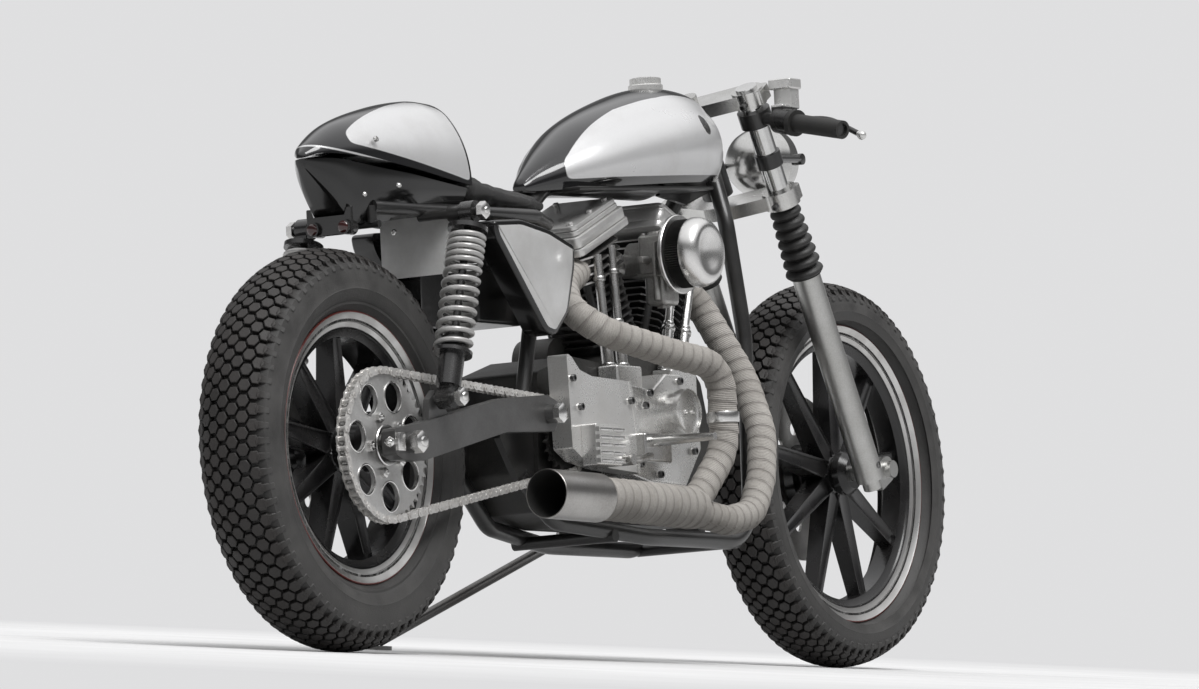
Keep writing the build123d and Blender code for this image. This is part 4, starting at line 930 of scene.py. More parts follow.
# Rocker boxes
# Three stacked aluminium castings on each head, painted silver, with narrow grooves between them, and
# held down by cap screws.
rocker_silver = finish(
    "rocker_silver", (0.70, 0.70, 0.69), (0.50, 0.49, 0.48), 0.55, (0.28, 0.42), 0.0002, 12, 520, 0.2
)
rocker_mesh = bmesh.new()
for side in (-1, 1):
    bank = Matrix.Translation(CRANK) @ Matrix.Rotation(BANK * side, 4, "Y")
    for low, high, half_long, half_wide in (
        (0.3508, 0.3636, 0.088, 0.072), (0.3648, 0.3836, 0.0855, 0.0695), (0.3848, 0.3930, 0.0785, 0.0645),
        (0.3938, 0.4018, 0.0770, 0.0630),
    ):
        part = bmesh.new()
        bmesh.ops.create_cube(
            part, size=1, matrix=Matrix.Diagonal((2 * half_long, 2 * half_wide, high - low, 1))
        )
        posts = [e for e in part.edges if abs((e.verts[0].co - e.verts[1].co).z) > 0.002]
        ease(part, posts, 0.012, 5)
        rims = [e for e in part.edges if abs((e.verts[0].co - e.verts[1].co).z) < 1e-6]
        ease(part, rims, 0.0016)
        part.transform(bank @ Matrix.Translation((-0.008 * side, 0, (low + high) / 2)))
        join_part(rocker_mesh, part)
    turn = bank.to_3x3()
    add_box(
        rocker_mesh,
        CRANK + turn @ Vector((-0.008 * side, 0, 0.372)),
        (0.148, 0.116, 0.040),
        0.002,
        turn.to_4x4(),
    )
    for dx, dy in (
        (-0.062, -0.048), (0.062, -0.048), (-0.062, 0.048), (0.062, 0.048), (0, -0.052), (0, 0.052)
    ):
        seat = CRANK + turn @ Vector((dx - 0.008 * side, dy, 0.4015))
        add_screw(rocker_mesh, seat, turn @ Vector((0, 0, 1)), 0.0052, 0.0050)
rocker_piece = piece("stacked_rocker_boxes", rocker_mesh, "frame", [rocker_silver], sharp=32)
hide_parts("rocker_boxes")

# Pushrod tubes
# Chromed tubes that telescope from the tappet blocks to the heads, each with its spring cap and two collars.
dress(bright_steel, "pushrod_tubes")
collar_mesh = bmesh.new()
for foot_x, foot_z, head_x, head_z in ((0.722, 0.470, 0.736, 0.676), (0.766, 0.470, 0.782, 0.694),
                                       (0.897, 0.470, 0.992, 0.700), (0.944, 0.470, 1.052, 0.688)):
    foot, head = Vector((foot_x, -0.090, foot_z)), Vector((head_x, -0.070, head_z))
    for share, radius in ((0.08, 0.0135), (0.385, 0.0130), (0.42, 0.0105), (0.80, 0.0105)):
        middle = foot.lerp(head, share)
        step = (head - foot).normalized() * 0.004
        add_rod(collar_mesh, middle - step, middle + step, radius, sides=20, edge=0.0012)
piece("pushrod_collars", collar_mesh, "frame", [bright_steel])

# Carburettor and air cleaner
# A die-cast aluminium body with its float bowl and slide top, and a round cleaner: a black pleated
# element held between a backing plate and a spun, dished cap.
carb_metal = finish("carb_metal", (0.48, 0.48, 0.47), (0.22, 0.21, 0.20), 0.9, (0.34, 0.52), 0.0005, 26, 480)
dress(carb_metal, "carburettor")
carb_mesh = bmesh.new()
add_box(carb_mesh, (0.866, -0.116, 0.6425), (0.062, 0.046, 0.006), 0.0015)
for dx, dy in ((-0.024, -0.017), (0.024, -0.017), (-0.024, 0.017), (0.024, 0.017)):
    add_screw(carb_mesh, (0.866 + dx, -0.116 + dy, 0.7115), (0, 0, 1), 0.0038, 0.004)
add_rod(carb_mesh, (0.866, -0.116, 0.706), (0.866, -0.116, 0.718), 0.022, 0.019, 32, 0.002)
add_rod(carb_mesh, (0.836, -0.124, 0.600), (0.836, -0.124, 0.640), 0.0060, sides=14, edge=0.001)
add_rod(carb_mesh, (0.866, -0.116, 0.588), (0.866, -0.116, 0.596), 0.0110, 0.0095, 6, 0.001)
add_rod(carb_mesh, (0.829, -0.112, 0.668), (0.806, -0.112, 0.668), 0.0070, 0.0055, 16, 0.001)
add_slab(carb_mesh, [(0.818, 0.640), (0.832, 0.640), (0.832, 0.700), (0.818, 0.696)], -0.134, -0.129, 0.001)
piece("carburettor_trim", carb_mesh, "frame", [carb_metal])
cap_metal = finish("cap_metal", (0.78, 0.78, 0.77), (0.62, 0.61, 0.60), 1, (0.22, 0.34), 0.00005, 10, 600)
element_black = finish(
    "element_black", (0.010, 0.010, 0.010), (0.030, 0.029, 0.027), 0, (0.6, 0.8), 0.0003, 30, 500
)
AIR = Vector((0.866, 0, 0.676))
cleaner_mesh = bmesh.new()
turned(cleaner_mesh, [(-0.150, 0.0), (-0.150, 0.0655), (-0.1515, 0.067), (-0.1560, 0.067), (-0.1575, 0.0655),
                      (-0.1580, 0.055), (-0.1580, 0.0), (-0.150, 0.0)], AIR, 96)
turned(
    cleaner_mesh,
    [
        (-0.1845, 0.0), (-0.1845, 0.0575), (-0.1858, 0.0592), (-0.1885, 0.0598), (-0.1960, 0.0590),
        (-0.2040, 0.0568), (-0.2105, 0.0530), (-0.2145, 0.0478), (-0.2160, 0.0425), (-0.2155, 0.0370),
        (-0.2125, 0.0290), (-0.2085, 0.0190), (-0.2060, 0.0090), (-0.2052, 0.0), (-0.1845, 0.0),
    ],
    AIR,
    96,
)
ELEMENT_R = 0.0580
PLEATS = 90
part = bmesh.new()
turn = Matrix.Translation(AIR + Vector((0, -0.1710, 0))) @ Matrix.Rotation(pi / 2, 4, "X")
bmesh.ops.create_cone(part, cap_ends=True, segments=2 * PLEATS, radius1=ELEMENT_R, radius2=ELEMENT_R,
                      depth=0.0280, matrix=turn)
for vertex in part.verts:
    offset = vertex.co - AIR
    if round(atan2(offset.z, offset.x) / (pi / PLEATS)) % 2:
        vertex.co = AIR + Vector((offset.x * 0.93, offset.y, offset.z * 0.93))
for face in part.faces:
    face.material_index = 1
join_part(cleaner_mesh, part)
cleaner = piece(
    "round_air_cleaner", cleaner_mesh, "frame", [cap_metal, element_black], sharp=30
)
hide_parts("air_cleaner")


# Fuel tank
# A welded steel tank, narrow at the back and full at the front, in gloss black with a silver-white panel
# down each flank and a small plain dark badge near its front.
def smooth_row(rows, x):
    """The values of a table of rows, read at x on a smooth curve through them."""
    index = max(i for i in range(len(rows) - 1) if rows[i][0] <= x or i == 0)
    before, start, end, after = (rows[max(0, min(len(rows) - 1, index + i))] for i in (-1, 0, 1, 2))
    share = (x - start[0]) / (end[0] - start[0])
    values = []
    for a, b, c, d in zip(before[1:], start[1:], end[1:], after[1:]):
        into = (c - a) / max(end[0] - before[0], 1e-6) * (end[0] - start[0])
        away = (d - b) / max(after[0] - start[0], 1e-6) * (end[0] - start[0])
        eased = share * share * (3 - 2 * share)
        values.append(
            b + (c - b) * eased + into * share * (1 - share) ** 2 - away * share * share * (1 - share)
        )
    return values


def arc(start, through, end, steps):
    """Points (y, z) along the arc through three points, without its last one."""
    a, b, c = (Vector((*p, 0)) for p in (start, through, end))
    ab, ac = b - a, c - a
    normal = ab.cross(ac)
    reach = normal.cross(ab) * ac.length_squared + ac.cross(normal) * ab.length_squared
    centre = a + reach / (2 * normal.length_squared)
    first = a - centre
    whole = first.angle(b - centre) + (b - centre).angle(c - centre)
    turn = 1 if normal.z > 0 else -1
    return [centre + Matrix.Rotation(turn * whole * i / steps, 3, "Z") @ first for i in range(steps)]


def shell_ring(half, low, high, form):
    """One cross-section of a shell, as (y, z) points: flat floor, bowed sides and an arched top."""
    foot = form[0] * half
    side, shoulder = [(half * wide, low + (high - low) * rise) for wide, rise in form[1:]]
    floor = [Vector((foot * (i / 3 - 1), low, 0)) for i in range(6)]
    left = arc((foot, low), side, shoulder, 12)
    crown = arc(shoulder, (0, high), (-shoulder[0], shoulder[1]), 20)
    right = arc((-shoulder[0], shoulder[1]), (-side[0], side[1]), (-foot, low), 12)
    return floor + left + crown + right


RING_STEPS = 50


def shell(rows, form, blunt, cells=70):
    """A closed shell over a table of (x, half width, low, high), with its ends drawn in by blunt lengths."""
    part = bmesh.new()
    bmesh.ops.create_grid(part, x_segments=cells, y_segments=RING_STEPS, size=1)
    first, last = rows[0][0], rows[-1][0]
    rings = {}
    for vertex in part.verts:
        place = round((vertex.co.x + 1) / 2 * cells)
        if place not in rings:
            x = first + (last - first) * place / cells
            half, low, high = smooth_row(rows, x)
            pull = 1.0
            for gap, length in ((x - first, blunt[0]), (last - x, blunt[1])):
                if gap < length:
                    pull = min(pull, 1 - 0.12 * (1 - (1 - (1 - gap / length) ** 2) ** 0.5))
            rings[place] = (x, pull, (low + high) / 2, shell_ring(half, low, high, form))
        x, pull, middle, ring = rings[place]
        point = ring[round((vertex.co.y + 1) / 2 * RING_STEPS) % RING_STEPS]
        vertex.co = Vector((x, point.x * pull, middle + (point.y - middle) * pull))
    bmesh.ops.remove_doubles(part, verts=part.verts, dist=1e-6)
    bmesh.ops.holes_fill(part, edges=part.edges)
    return part


TANK_FORM = (0.82, (1.0, 0.36), (0.72, 0.74))
TANK = (
    (0.612, 0.014, 0.783, 0.800),
    (0.640, 0.026, 0.784, 0.824),
    (0.700, 0.058, 0.788, 0.866),
    (0.780, 0.092, 0.794, 0.912),
    (0.880, 0.110, 0.802, 0.950),
    (1.000, 0.120, 0.811, 0.980),
    (1.100, 0.110, 0.818, 0.982),
    (1.150, 0.080, 0.824, 0.966),
)


def two_tone(name, panel):
    """Gloss black over most of a shell and silver-white flake in its panel, which is given as a function."""
    material, tree, shader, place, patch, grain = new_finish(name, 9, 1600)
    forward, left, height = at_place(tree, place)
    out = sums(tree, "ABSOLUTE", left)
    inside = panel(tree, forward, out, height)
    black = mixed(tree, patch, (0.007, 0.007, 0.008), (0.013, 0.013, 0.014))
    flake = ranged(tree, grain, 0.35, 0.65, 0, 1)
    silver = mixed(tree, flake, (0.60, 0.60, 0.605), (0.70, 0.70, 0.70))
    worn = mixed(tree, ranged(tree, patch, 0.5, 1, 0, 0.35), silver, (0.50, 0.49, 0.485))
    join(
        tree,
        (mixed(tree, inside, black, worn), shader.inputs["Base Color"]),
        (ranged(tree, inside, 0, 1, 0.0, 0.35), shader.inputs["Metallic"]),
        (
            mixed(tree, inside, (0.12,) * 3, mixed(tree, patch, (0.26,) * 3, (0.36,) * 3)),
            shader.inputs["Roughness"],
        ),
    )
    shader.inputs["Coat Weight"].default_value = 0.6
    shader.inputs["Coat Roughness"].default_value = 0.03
    return material


def edge_of(tree, gap, width=0.0006):
    """1 where a gap is above zero, with a crisp but smooth edge."""
    return ranged(tree, gap, -width, width, 0, 1)


def soft_least(tree, first, second, corner):
    """The lesser of two gaps, rounded where they cross."""
    node = tree.nodes.new("ShaderNodeMath")
    node.operation = "SMOOTH_MIN"
    node.inputs[2].default_value = corner
    join(tree, (first, node.inputs[0]), (second, node.inputs[1]))
    return node.outputs[0]


PANEL_BACK, PANEL_FRONT = 0.683, 1.118
BADGE_X, BADGE_Z, BADGE_R = 1.052, 0.912, 0.0125


def tank_panel(tree, forward, out, height):
    """The tank's side panel, with a dark badge cut out of it."""
    inner = sums(tree, "MAXIMUM", sums(tree, "MULTIPLY", sums(tree, "SUBTRACT", forward, 0.855), 0.12))
    beside = sums(tree, "SUBTRACT", out, sums(tree, "ADD", sums(tree, "MINIMUM", inner, 0.0145), 0.0435))
    line = sums(tree, "ADD", sums(tree, "MULTIPLY", sums(tree, "SUBTRACT", forward, 0.695), 0.0615), 0.8038)
    above = sums(tree, "SUBTRACT", height, line)
    back, front = sums(tree, "SUBTRACT", forward, PANEL_BACK), sums(tree, "SUBTRACT", PANEL_FRONT, forward)
    ends = soft_least(tree, back, front, 0.02)
    gap = soft_least(tree, soft_least(tree, beside, above, 0.018), ends, 0.02)
    ahead = sums(tree, "SUBTRACT", forward, BADGE_X)
    rise = sums(tree, "MULTIPLY", sums(tree, "SUBTRACT", height, BADGE_Z), 0.72)
    square = sums(tree, "ADD", sums(tree, "MULTIPLY", ahead, ahead), sums(tree, "MULTIPLY", rise, rise))
    off_badge = sums(tree, "SUBTRACT", sums(tree, "SQRT", square), BADGE_R)
    return sums(tree, "MULTIPLY", edge_of(tree, gap), edge_of(tree, off_badge))


tank = bmesh.new()
join_part(tank, shell(TANK, TANK_FORM, (0.012, 0.030)))
tank_piece = piece(
    "painted_tank", tank, "frame", [two_tone("tank_paint", tank_panel)], sharp=50
)
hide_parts("fuel_tank")
seam = bmesh.new()
add_box(seam, (0.905, 0, 0.7985), (0.440, 0.150, 0.007), 0.002, Matrix.Rotation(radians(-3.2), 4, "Y"))
add_box(seam, (0.628, 0, 0.7825), (0.050, 0.026, 0.004), 0.0015)
add_screw(seam, (0.618, 0, 0.7845), (0, 0, 1), 0.0060, 0.006, 6, socket=False)
piece("tank_floor_seam", seam, "frame", [frame_black])

# Filler cap
# A turned aluminium cap with a knurled rim and a low crown, in a flanged neck.
filler = bmesh.new()
CAP = Vector((1.040, 0, 0.981))
FLUTES = 36
turned(
    filler,
    [(-0.004, 0.0), (-0.004, 0.0300), (0.0072, 0.0300), (0.0086, 0.0286), (0.0086, 0.0), (-0.004, 0.0)],
    CAP,
    64,
    (0, 0, 1),
)
part = bmesh.new()
bmesh.ops.create_cone(part, cap_ends=True, segments=2 * FLUTES, radius1=0.0270, radius2=0.0270, depth=0.0110,
                      matrix=Matrix.Translation(CAP + Vector((0, 0, 0.0140))))
for vertex in part.verts:
    offset = vertex.co - CAP
    if round(atan2(offset.y, offset.x) / (pi / FLUTES)) % 2:
        vertex.co = CAP + Vector((offset.x * 0.962, offset.y * 0.962, offset.z))
part.normal_update()
top = [f for f in part.faces if f.normal.z > 0.9]
bmesh.ops.inset_region(part, faces=top, thickness=0.0035, depth=0.0012)
bmesh.ops.inset_region(part, faces=top, thickness=0.010, depth=0.0010)
join_part(filler, part)
add_box(filler, CAP + Vector((0, 0, 0.0205)), (0.034, 0.0080, 0.0028), 0.0012)
cap_piece = piece("knurled_cap", filler, "frame", [cover_polish], sharp=28)
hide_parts("filler_cap")

# Seat cowl and pan
# A moulded tail cowl in the tank's two colours, edged by a thin silver line where it meets its gloss
# black under-pan, which is held on by bright oval-head screws.
COWL_FORM = (0.98, (0.90, 0.40), (0.62, 0.78))
COWL = (
    (-0.058, 0.006, 0.800, 0.808),
    (-0.034, 0.026, 0.808, 0.828),
    (0.040, 0.060, 0.804, 0.866),
    (0.150, 0.088, 0.788, 0.896),
    (0.250, 0.102, 0.772, 0.912),
    (0.304, 0.106, 0.766, 0.912),
)
PAN_FORM = (0.62, (0.92, 0.45), (1.0, 0.90))
PAN = (
    (-0.056, 0.010, 0.786, 0.8000),
    (-0.010, 0.040, 0.742, 0.8055),
    (0.042, 0.054, 0.700, 0.8035),
    (0.084, 0.066, 0.699, 0.7965),
    (0.150, 0.080, 0.707, 0.7875),
    (0.214, 0.088, 0.716, 0.7775),
    (0.300, 0.096, 0.726, 0.7655),
)


def cowl_panel(tree, forward, out, height):
    """The cowl's side panel and the thin silver line along its lower edge."""
    near_tip = sums(tree, "MULTIPLY", sums(tree, "SUBTRACT", 0.176, forward), 0.11)
    near_seat = sums(tree, "MULTIPLY", sums(tree, "SUBTRACT", forward, 0.235), 0.45)
    spread = sums(tree, "ADD", sums(tree, "MAXIMUM", near_tip), sums(tree, "MAXIMUM", near_seat))
    beside = sums(tree, "SUBTRACT", out, sums(tree, "ADD", spread, 0.0205))
    line = sums(
        tree, "SUBTRACT", 0.825, sums(tree, "MULTIPLY", sums(tree, "SUBTRACT", forward, 0.024), 0.193)
    )
    above = sums(tree, "SUBTRACT", height, line)
    back, front = sums(tree, "SUBTRACT", forward, 0.020), sums(tree, "SUBTRACT", 0.294, forward)
    ends = soft_least(tree, back, front, 0.02)
    gap = soft_least(tree, soft_least(tree, beside, above, 0.014), ends, 0.016)
    below = sums(tree, "ADD", above, 0.0165)
    stripe = sums(tree, "SUBTRACT", 0.0016, sums(tree, "ABSOLUTE", below))
    return sums(tree, "MAXIMUM", edge_of(tree, gap), edge_of(tree, stripe))


cowl = bmesh.new()
join_part(cowl, shell(COWL, COWL_FORM, (0.004, 0.006)))
cowl_piece = piece(
    "painted_cowl", cowl, "frame", [two_tone("cowl_paint", cowl_panel)], sharp=50
)
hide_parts("seat_cowl")
gloss_black = finish(
    "gloss_black", (0.003, 0.003, 0.003), (0.008, 0.008, 0.008), 0, (0.10, 0.20), 0, 9, 400, 0.2
)
pan = bmesh.new()
join_part(pan, shell(PAN, PAN_FORM, (0.004, 0.004)))
pan_piece = piece("under_pan", pan, "frame", [gloss_black], sharp=50)
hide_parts("cowl_pan")
pan_screws = bmesh.new()
for side in (-1, 1):
    for x, y, z, way in (
        (0.005, 0.0405, 0.783, (-0.2, 0.93, -0.3)), (0.052, 0.0520, 0.744, (-0.1, 0.9, -0.42)),
        (0.122, 0.0745, 0.760, (0, 0.93, -0.35)),
    ):
        seat = Vector((x, side * (y - 0.004), z))
        head_way = Vector((way[0], side * way[1], way[2]))
        add_rod(pan_screws, seat, seat + head_way * 0.0065, 0.0058, 0.0036, 20, 0.0012)
    add_screw(pan_screws, (0.066, side * 0.0675, 0.832), (0, side * 0.93, 0.35), 0.0052, 0.004)
piece("cowl_screws", pan_screws, "frame", [bright_steel])

# Seat pad
# A low foam pad covered in black leather and sewn in long channels that run fore and aft. The cloth is
# let swell over its foam, and the channels are pressed in afterwards.
PAD_FORM = (0.82, (1.0, 0.5), (0.84, 0.8))
PAD = (
    (0.309, 0.094, 0.748, 0.795),
    (0.350, 0.093, 0.747, 0.788),
    (0.430, 0.088, 0.744, 0.776),
    (0.530, 0.080, 0.742, 0.768),
    (0.604, 0.060, 0.746, 0.763),
)
CLOTH_CELL = 0.005
PRESSURE = 4
SWELL = 0.006
CHANNELS, CHANNEL_DEPTH = 3.5, 0.0045
pad_part = shell(PAD, PAD_FORM, (0.012, 0.014), cells=60)
pad_data = bpy.data.meshes.new("seat_leather_pad")
pad_part.to_mesh(pad_data)
pad_part.free()
pad = bpy.data.objects.new("seat_leather_pad", pad_data)
bpy.context.scene.collection.objects.link(pad)
bpy.context.view_layer.objects.active = pad
remesh = pad.modifiers.new("even", "REMESH")
remesh.mode = "VOXEL"
remesh.voxel_size = CLOTH_CELL
bpy.ops.object.modifier_apply(modifier="even")
before = [v.co.copy() for v in pad.data.vertices]
cloth = pad.modifiers.new("swell", "CLOTH")
cloth.settings.use_pressure = True
cloth.settings.uniform_pressure_force = PRESSURE
cloth.settings.effector_weights.gravity = 0
for number in range(1, 21):
    bpy.context.scene.frame_set(number)
bpy.ops.object.modifier_apply(modifier="swell")
bpy.context.scene.frame_set(1)
for vertex, start in zip(pad.data.vertices, before):
    moved = vertex.co - start
    if moved.length > SWELL:
        moved = moved.normalized() * SWELL
    vertex.co = start + moved
pad_mesh = bmesh.new()
pad_mesh.from_mesh(pad.data)
bmesh.ops.subdivide_edges(pad_mesh, edges=pad_mesh.edges[:], cuts=1, use_grid_fill=True, smooth=0.6)
for vertex in pad_mesh.verts:
    half, low, high = smooth_row(PAD, min(max(vertex.co.x, PAD[0][0]), PAD[-1][0]))
    over = (vertex.co.z - (low + high) / 2) / ((high - low) / 2)
    if over > 0.2:
        lane = abs(vertex.co.y / half * CHANNELS % 1 - 0.5) * 2
        vertex.co.z -= CHANNEL_DEPTH * lane**6 * min(1, (over - 0.2) / 0.4)
pad_mesh.normal_update()
pad_mesh.to_mesh(pad.data)
pad_mesh.free()
pad.data.transform(parked)
pad.data.shade_smooth()
leather, tree, shader, place, patch, grain_value = new_finish("seat_leather", 14, 380)
forward, left, height = at_place(tree, place)
creases = tree.nodes.new("ShaderNodeTexVoronoi")
creases.inputs["Scale"].default_value = 420
creases.feature = "DISTANCE_TO_EDGE"
stitch_step = sums(tree, "FRACT", sums(tree, "MULTIPLY", forward, 160.0))
stitch_way = sums(tree, "ABSOLUTE", sums(tree, "SUBTRACT", stitch_step, 0.5))
lane_way = sums(tree, "FRACT", sums(tree, "MULTIPLY", left, 40.0))
lane_gap = sums(tree, "ABSOLUTE", sums(tree, "SUBTRACT", lane_way, 0.5))
on_line = ranged(tree, lane_gap, 0.475, 0.49, 0, 1)
stitch = sums(tree, "MULTIPLY", on_line, ranged(tree, stitch_way, 0.10, 0.16, 0, 1))
hide = mixed(tree, patch, (0.010, 0.010, 0.010), (0.026, 0.025, 0.024))
join(
    tree,
    (place, creases.inputs["Vector"]),
    (mixed(tree, stitch, hide, (0.05, 0.05, 0.05)), shader.inputs["Base Color"]),
    (ranged(tree, patch, 0, 1, 0.28, 0.44), shader.inputs["Roughness"]),
)
pores = ranged(tree, creases.outputs["Distance"], 0, 0.18, 0, 1)
pebble = sums(tree, "ADD", pores, sums(tree, "MULTIPLY", stitch, 1.2))
relief(tree, shader, pebble, 0.0004)
pad.data.materials.append(leather)
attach(pad, "frame")
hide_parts("seat_pad")

# Side covers
# Pressed covers under the seat: a gloss black border round a silver-white panel with rounded corners.
COVER = ((0.300, 0.706), (0.384, 0.712), (0.470, 0.700), (0.552, 0.676), (0.548, 0.640), (0.520, 0.560),
         (0.478, 0.522), (0.446, 0.528), (0.306, 0.680))
cover_silver, tree, shader, place, patch, grain_value = new_finish("cover_silver", 10, 1500)
flake = ranged(tree, grain_value, 0.35, 0.65, 0, 1)
fresh = mixed(tree, flake, (0.66, 0.66, 0.655), (0.76, 0.76, 0.755))
join(
    tree,
    (mixed(tree, patch, fresh, (0.56, 0.555, 0.545)), shader.inputs["Base Color"]),
    (ranged(tree, patch, 0, 1, 0.28, 0.42), shader.inputs["Roughness"]),
)
shader.inputs["Metallic"].default_value = 0.3
shader.inputs["Coat Weight"].default_value = 0.5
cover_mesh = bmesh.new()
for side in (-1, 1):
    part = bmesh.new()
    bmesh.ops.contextual_create(part, geom=[part.verts.new((x, side * 0.098, z)) for x, z in COVER])
    ease(part, part.verts[:], 0.010, 5, "VERTICES")
    raised(part, part.faces[:], (0, side * 0.0435, 0))
    bmesh.ops.recalc_face_normals(part, faces=part.faces)
    rims = [e for e in part.edges if all(abs(v.co.y) > 0.14 for v in e.verts)]
    ease(part, rims, 0.005, 3)
    part.normal_update()
    outer = [f for f in part.faces if f.normal.y * side > 0.99 and len(f.verts) > 8]
    bmesh.ops.inset_region(part, faces=outer, thickness=0.0035, depth=0.0)
    bmesh.ops.inset_region(part, faces=outer, thickness=0.0008, depth=0.0004)
    for face in outer:
        face.material_index = 1
    join_part(cover_mesh, part)
covers = piece(
    "panelled_side_covers", cover_mesh, "frame", [gloss_black, cover_silver], sharp=40
)
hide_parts("side_covers")


# Exhaust pipes
# Two steel pipes bound in woven heat wrap, one lap over the next, which join in a wrapped collector. A
# steel band clamp holds the wrap where the rear pipe runs down.
def bent(points, bends, step):
    """Evenly spaced points along straight runs whose corners are turned at the given radii."""
    points = [Vector(p) for p in points]
    path = [points[0]]
    for before, corner, after, radius in zip(points, points[1:], points[2:], bends):
        back, on = (before - corner).normalized(), (after - corner).normalized()
        half_corner = back.angle(on) / 2
        reach = radius * cos(half_corner) / sin(half_corner)
        start, end = corner + back * reach, corner + on * reach
        swing = pi - back.angle(on)
        handle = radius * 4 / 3 * sin(swing / 4) / cos(swing / 4)
        path += interpolate_bezier(start, start - back * handle, end - on * handle, end, 24)
    path.append(points[-1])
    lengths = [0.0]
    for a, b in zip(path, path[1:]):
        lengths.append(lengths[-1] + (b - a).length)
    count = max(2, round(lengths[-1] / step))
    line, index = [], 0
    for i in range(count + 1):
        way = lengths[-1] * i / count
        while index < len(lengths) - 2 and lengths[index + 1] < way:
            index += 1
        share = (way - lengths[index]) / max(lengths[index + 1] - lengths[index], 1e-9)
        line.append(path[index].lerp(path[index + 1], min(1.0, max(0.0, share))))
    return line


WRAP_LAP = 0.024
PIPE_R = 0.0256


def wrapped(mesh, line, radius, lap=WRAP_LAP, rise=0.0016, sides=44):
    """A closed tube round a line of points, its skin stepped in laps that wind round it like a bandage."""
    part = bmesh.new()
    along = part.verts.layers.float.new("along")
    round_way = part.verts.layers.float.new("round")
    bmesh.ops.create_grid(part, x_segments=len(line) - 1, y_segments=sides, size=1)
    frames, side_way, way = [], None, 0.0
    for i, point in enumerate(line):
        ahead = (line[min(i + 1, len(line) - 1)] - line[max(i - 1, 0)]).normalized()
        if side_way is None:
            side_way = ahead.cross(Vector((0, 1, 0.3))).normalized()
        side_way = (side_way - ahead * side_way.dot(ahead)).normalized()
        if i:
            way += (point - line[i - 1]).length
        frames.append((point, side_way, ahead.cross(side_way), way))
    for vertex in part.verts:
        point, first, second, way = frames[round((vertex.co.x + 1) / 2 * (len(line) - 1))]
        share = round((vertex.co.y + 1) / 2 * sides) / sides
        turn = 2 * pi * share
        lift = ((way / lap + share) % 1.0) * rise
        vertex[along] = way
        vertex[round_way] = share if share < 1 else 0.0
        vertex.co = point + (first * cos(turn) + second * sin(turn)) * (radius - rise + lift)
    bmesh.ops.remove_doubles(part, verts=part.verts, dist=1e-6)
    bmesh.ops.holes_fill(part, edges=part.edges)
    join_part(mesh, part)


wrap_cloth, tree, shader, place, patch, grain_value = new_finish("heat_wrap_cloth", 11, 520)
along_way = tree.nodes.new("ShaderNodeAttribute")
along_way.attribute_name = "along"
round_turn = tree.nodes.new("ShaderNodeAttribute")
round_turn.attribute_name = "round"
laps = sums(tree, "MULTIPLY", along_way.outputs["Fac"], 1 / WRAP_LAP)
lap_share = sums(tree, "FRACT", sums(tree, "ADD", laps, round_turn.outputs["Fac"]))
# painted shade: the cloth is darkened over the first 30 % of each lap, just under the raised edge of the lap
# before it, to stand for the shade in that step
lap_step_painted_shade = ranged(tree, lap_share, 0.0, 0.30, 1, 0)
warp = sums(tree, "SINE", sums(tree, "MULTIPLY", along_way.outputs["Fac"], 2 * pi / 0.0032))
woven = ranged(tree, warp, -1, 1, 0, 1)
cloth_clean = mixed(tree, patch, (0.50, 0.475, 0.445), (0.34, 0.32, 0.295))
cloth_with_painted_shade = mixed(tree, sums(tree, "MULTIPLY", lap_step_painted_shade, 0.55), cloth_clean, (0.12, 0.11, 0.10))
cloth_grain = mixed(tree, ranged(tree, grain_value, 0.35, 0.7, 0, 0.4), cloth_with_painted_shade, (0.20, 0.185, 0.165))
join(
    tree,
    (cloth_grain, shader.inputs["Base Color"]),
    (ranged(tree, patch, 0, 1, 0.74, 0.9), shader.inputs["Roughness"]),
)
relief(tree, shader, sums(tree, "ADD", woven, sums(tree, "MULTIPLY", grain_value, 0.8)), 0.0007)
pipe_mesh = bmesh.new()
PATH_STEP = 0.003
rear_line = bent(
    [
        (0.742, -0.032, 0.656), (0.640, -0.060, 0.622), (0.578, -0.104, 0.574), (0.612, -0.152, 0.534),
        (0.760, -0.192, 0.500), (0.880, -0.214, 0.482), (0.880, -0.214, 0.340), (0.800, -0.200, 0.252),
        (0.740, -0.194, 0.244),
    ],
    [0.080, 0.048, 0.060, 0.150, 0.056, 0.090, 0.080],
    PATH_STEP,
)
front_line = bent(
    [
        (1.052, -0.030, 0.655), (1.100, -0.048, 0.610), (1.118, -0.118, 0.478), (1.085, -0.168, 0.378),
        (1.040, -0.188, 0.300), (0.985, -0.198, 0.236), (0.900, -0.199, 0.222), (0.790, -0.196, 0.236),
    ],
    [0.070, 0.150, 0.150, 0.150, 0.080, 0.100],
    PATH_STEP,
)
wrapped(pipe_mesh, rear_line, PIPE_R)
wrapped(pipe_mesh, front_line, PIPE_R)
COLLECTOR_START = Vector((0.800, -0.196, 0.241))
MUFFLER_START = Vector((0.508, -0.1844, 0.2506))
COLLECTOR_STEPS = 97
collector_line = [
    COLLECTOR_START.lerp(MUFFLER_START, i / COLLECTOR_STEPS) for i in range(COLLECTOR_STEPS + 1)
]
wrapped(pipe_mesh, collector_line, 0.0366, 0.026, 0.0020, 56)
wrap_piece = piece("wrapped_pipes", pipe_mesh, "frame", [wrap_cloth], sharp=50)
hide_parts("exhaust_pipes")
band_mesh = bmesh.new()
turned(band_mesh, [(-0.009, 0.0252), (-0.009, 0.0270), (-0.0075, 0.0276), (0.0075, 0.0276), (0.009, 0.0270),
                   (0.009, 0.0252), (-0.009, 0.0252)], (0.880, -0.214, 0.395), 48, (0, 0, 1))
add_box(band_mesh, (0.914, -0.2140, 0.395), (0.022, 0.0035, 0.014), 0.001)
add_box(band_mesh, (0.914, -0.2080, 0.395), (0.022, 0.0035, 0.014), 0.001)
add_screw(band_mesh, (0.916, -0.2155, 0.395), (0, -1, 0), 0.0050, 0.005, 6, socket=False)
piece("wrap_band", band_mesh, "frame", [bright_steel])
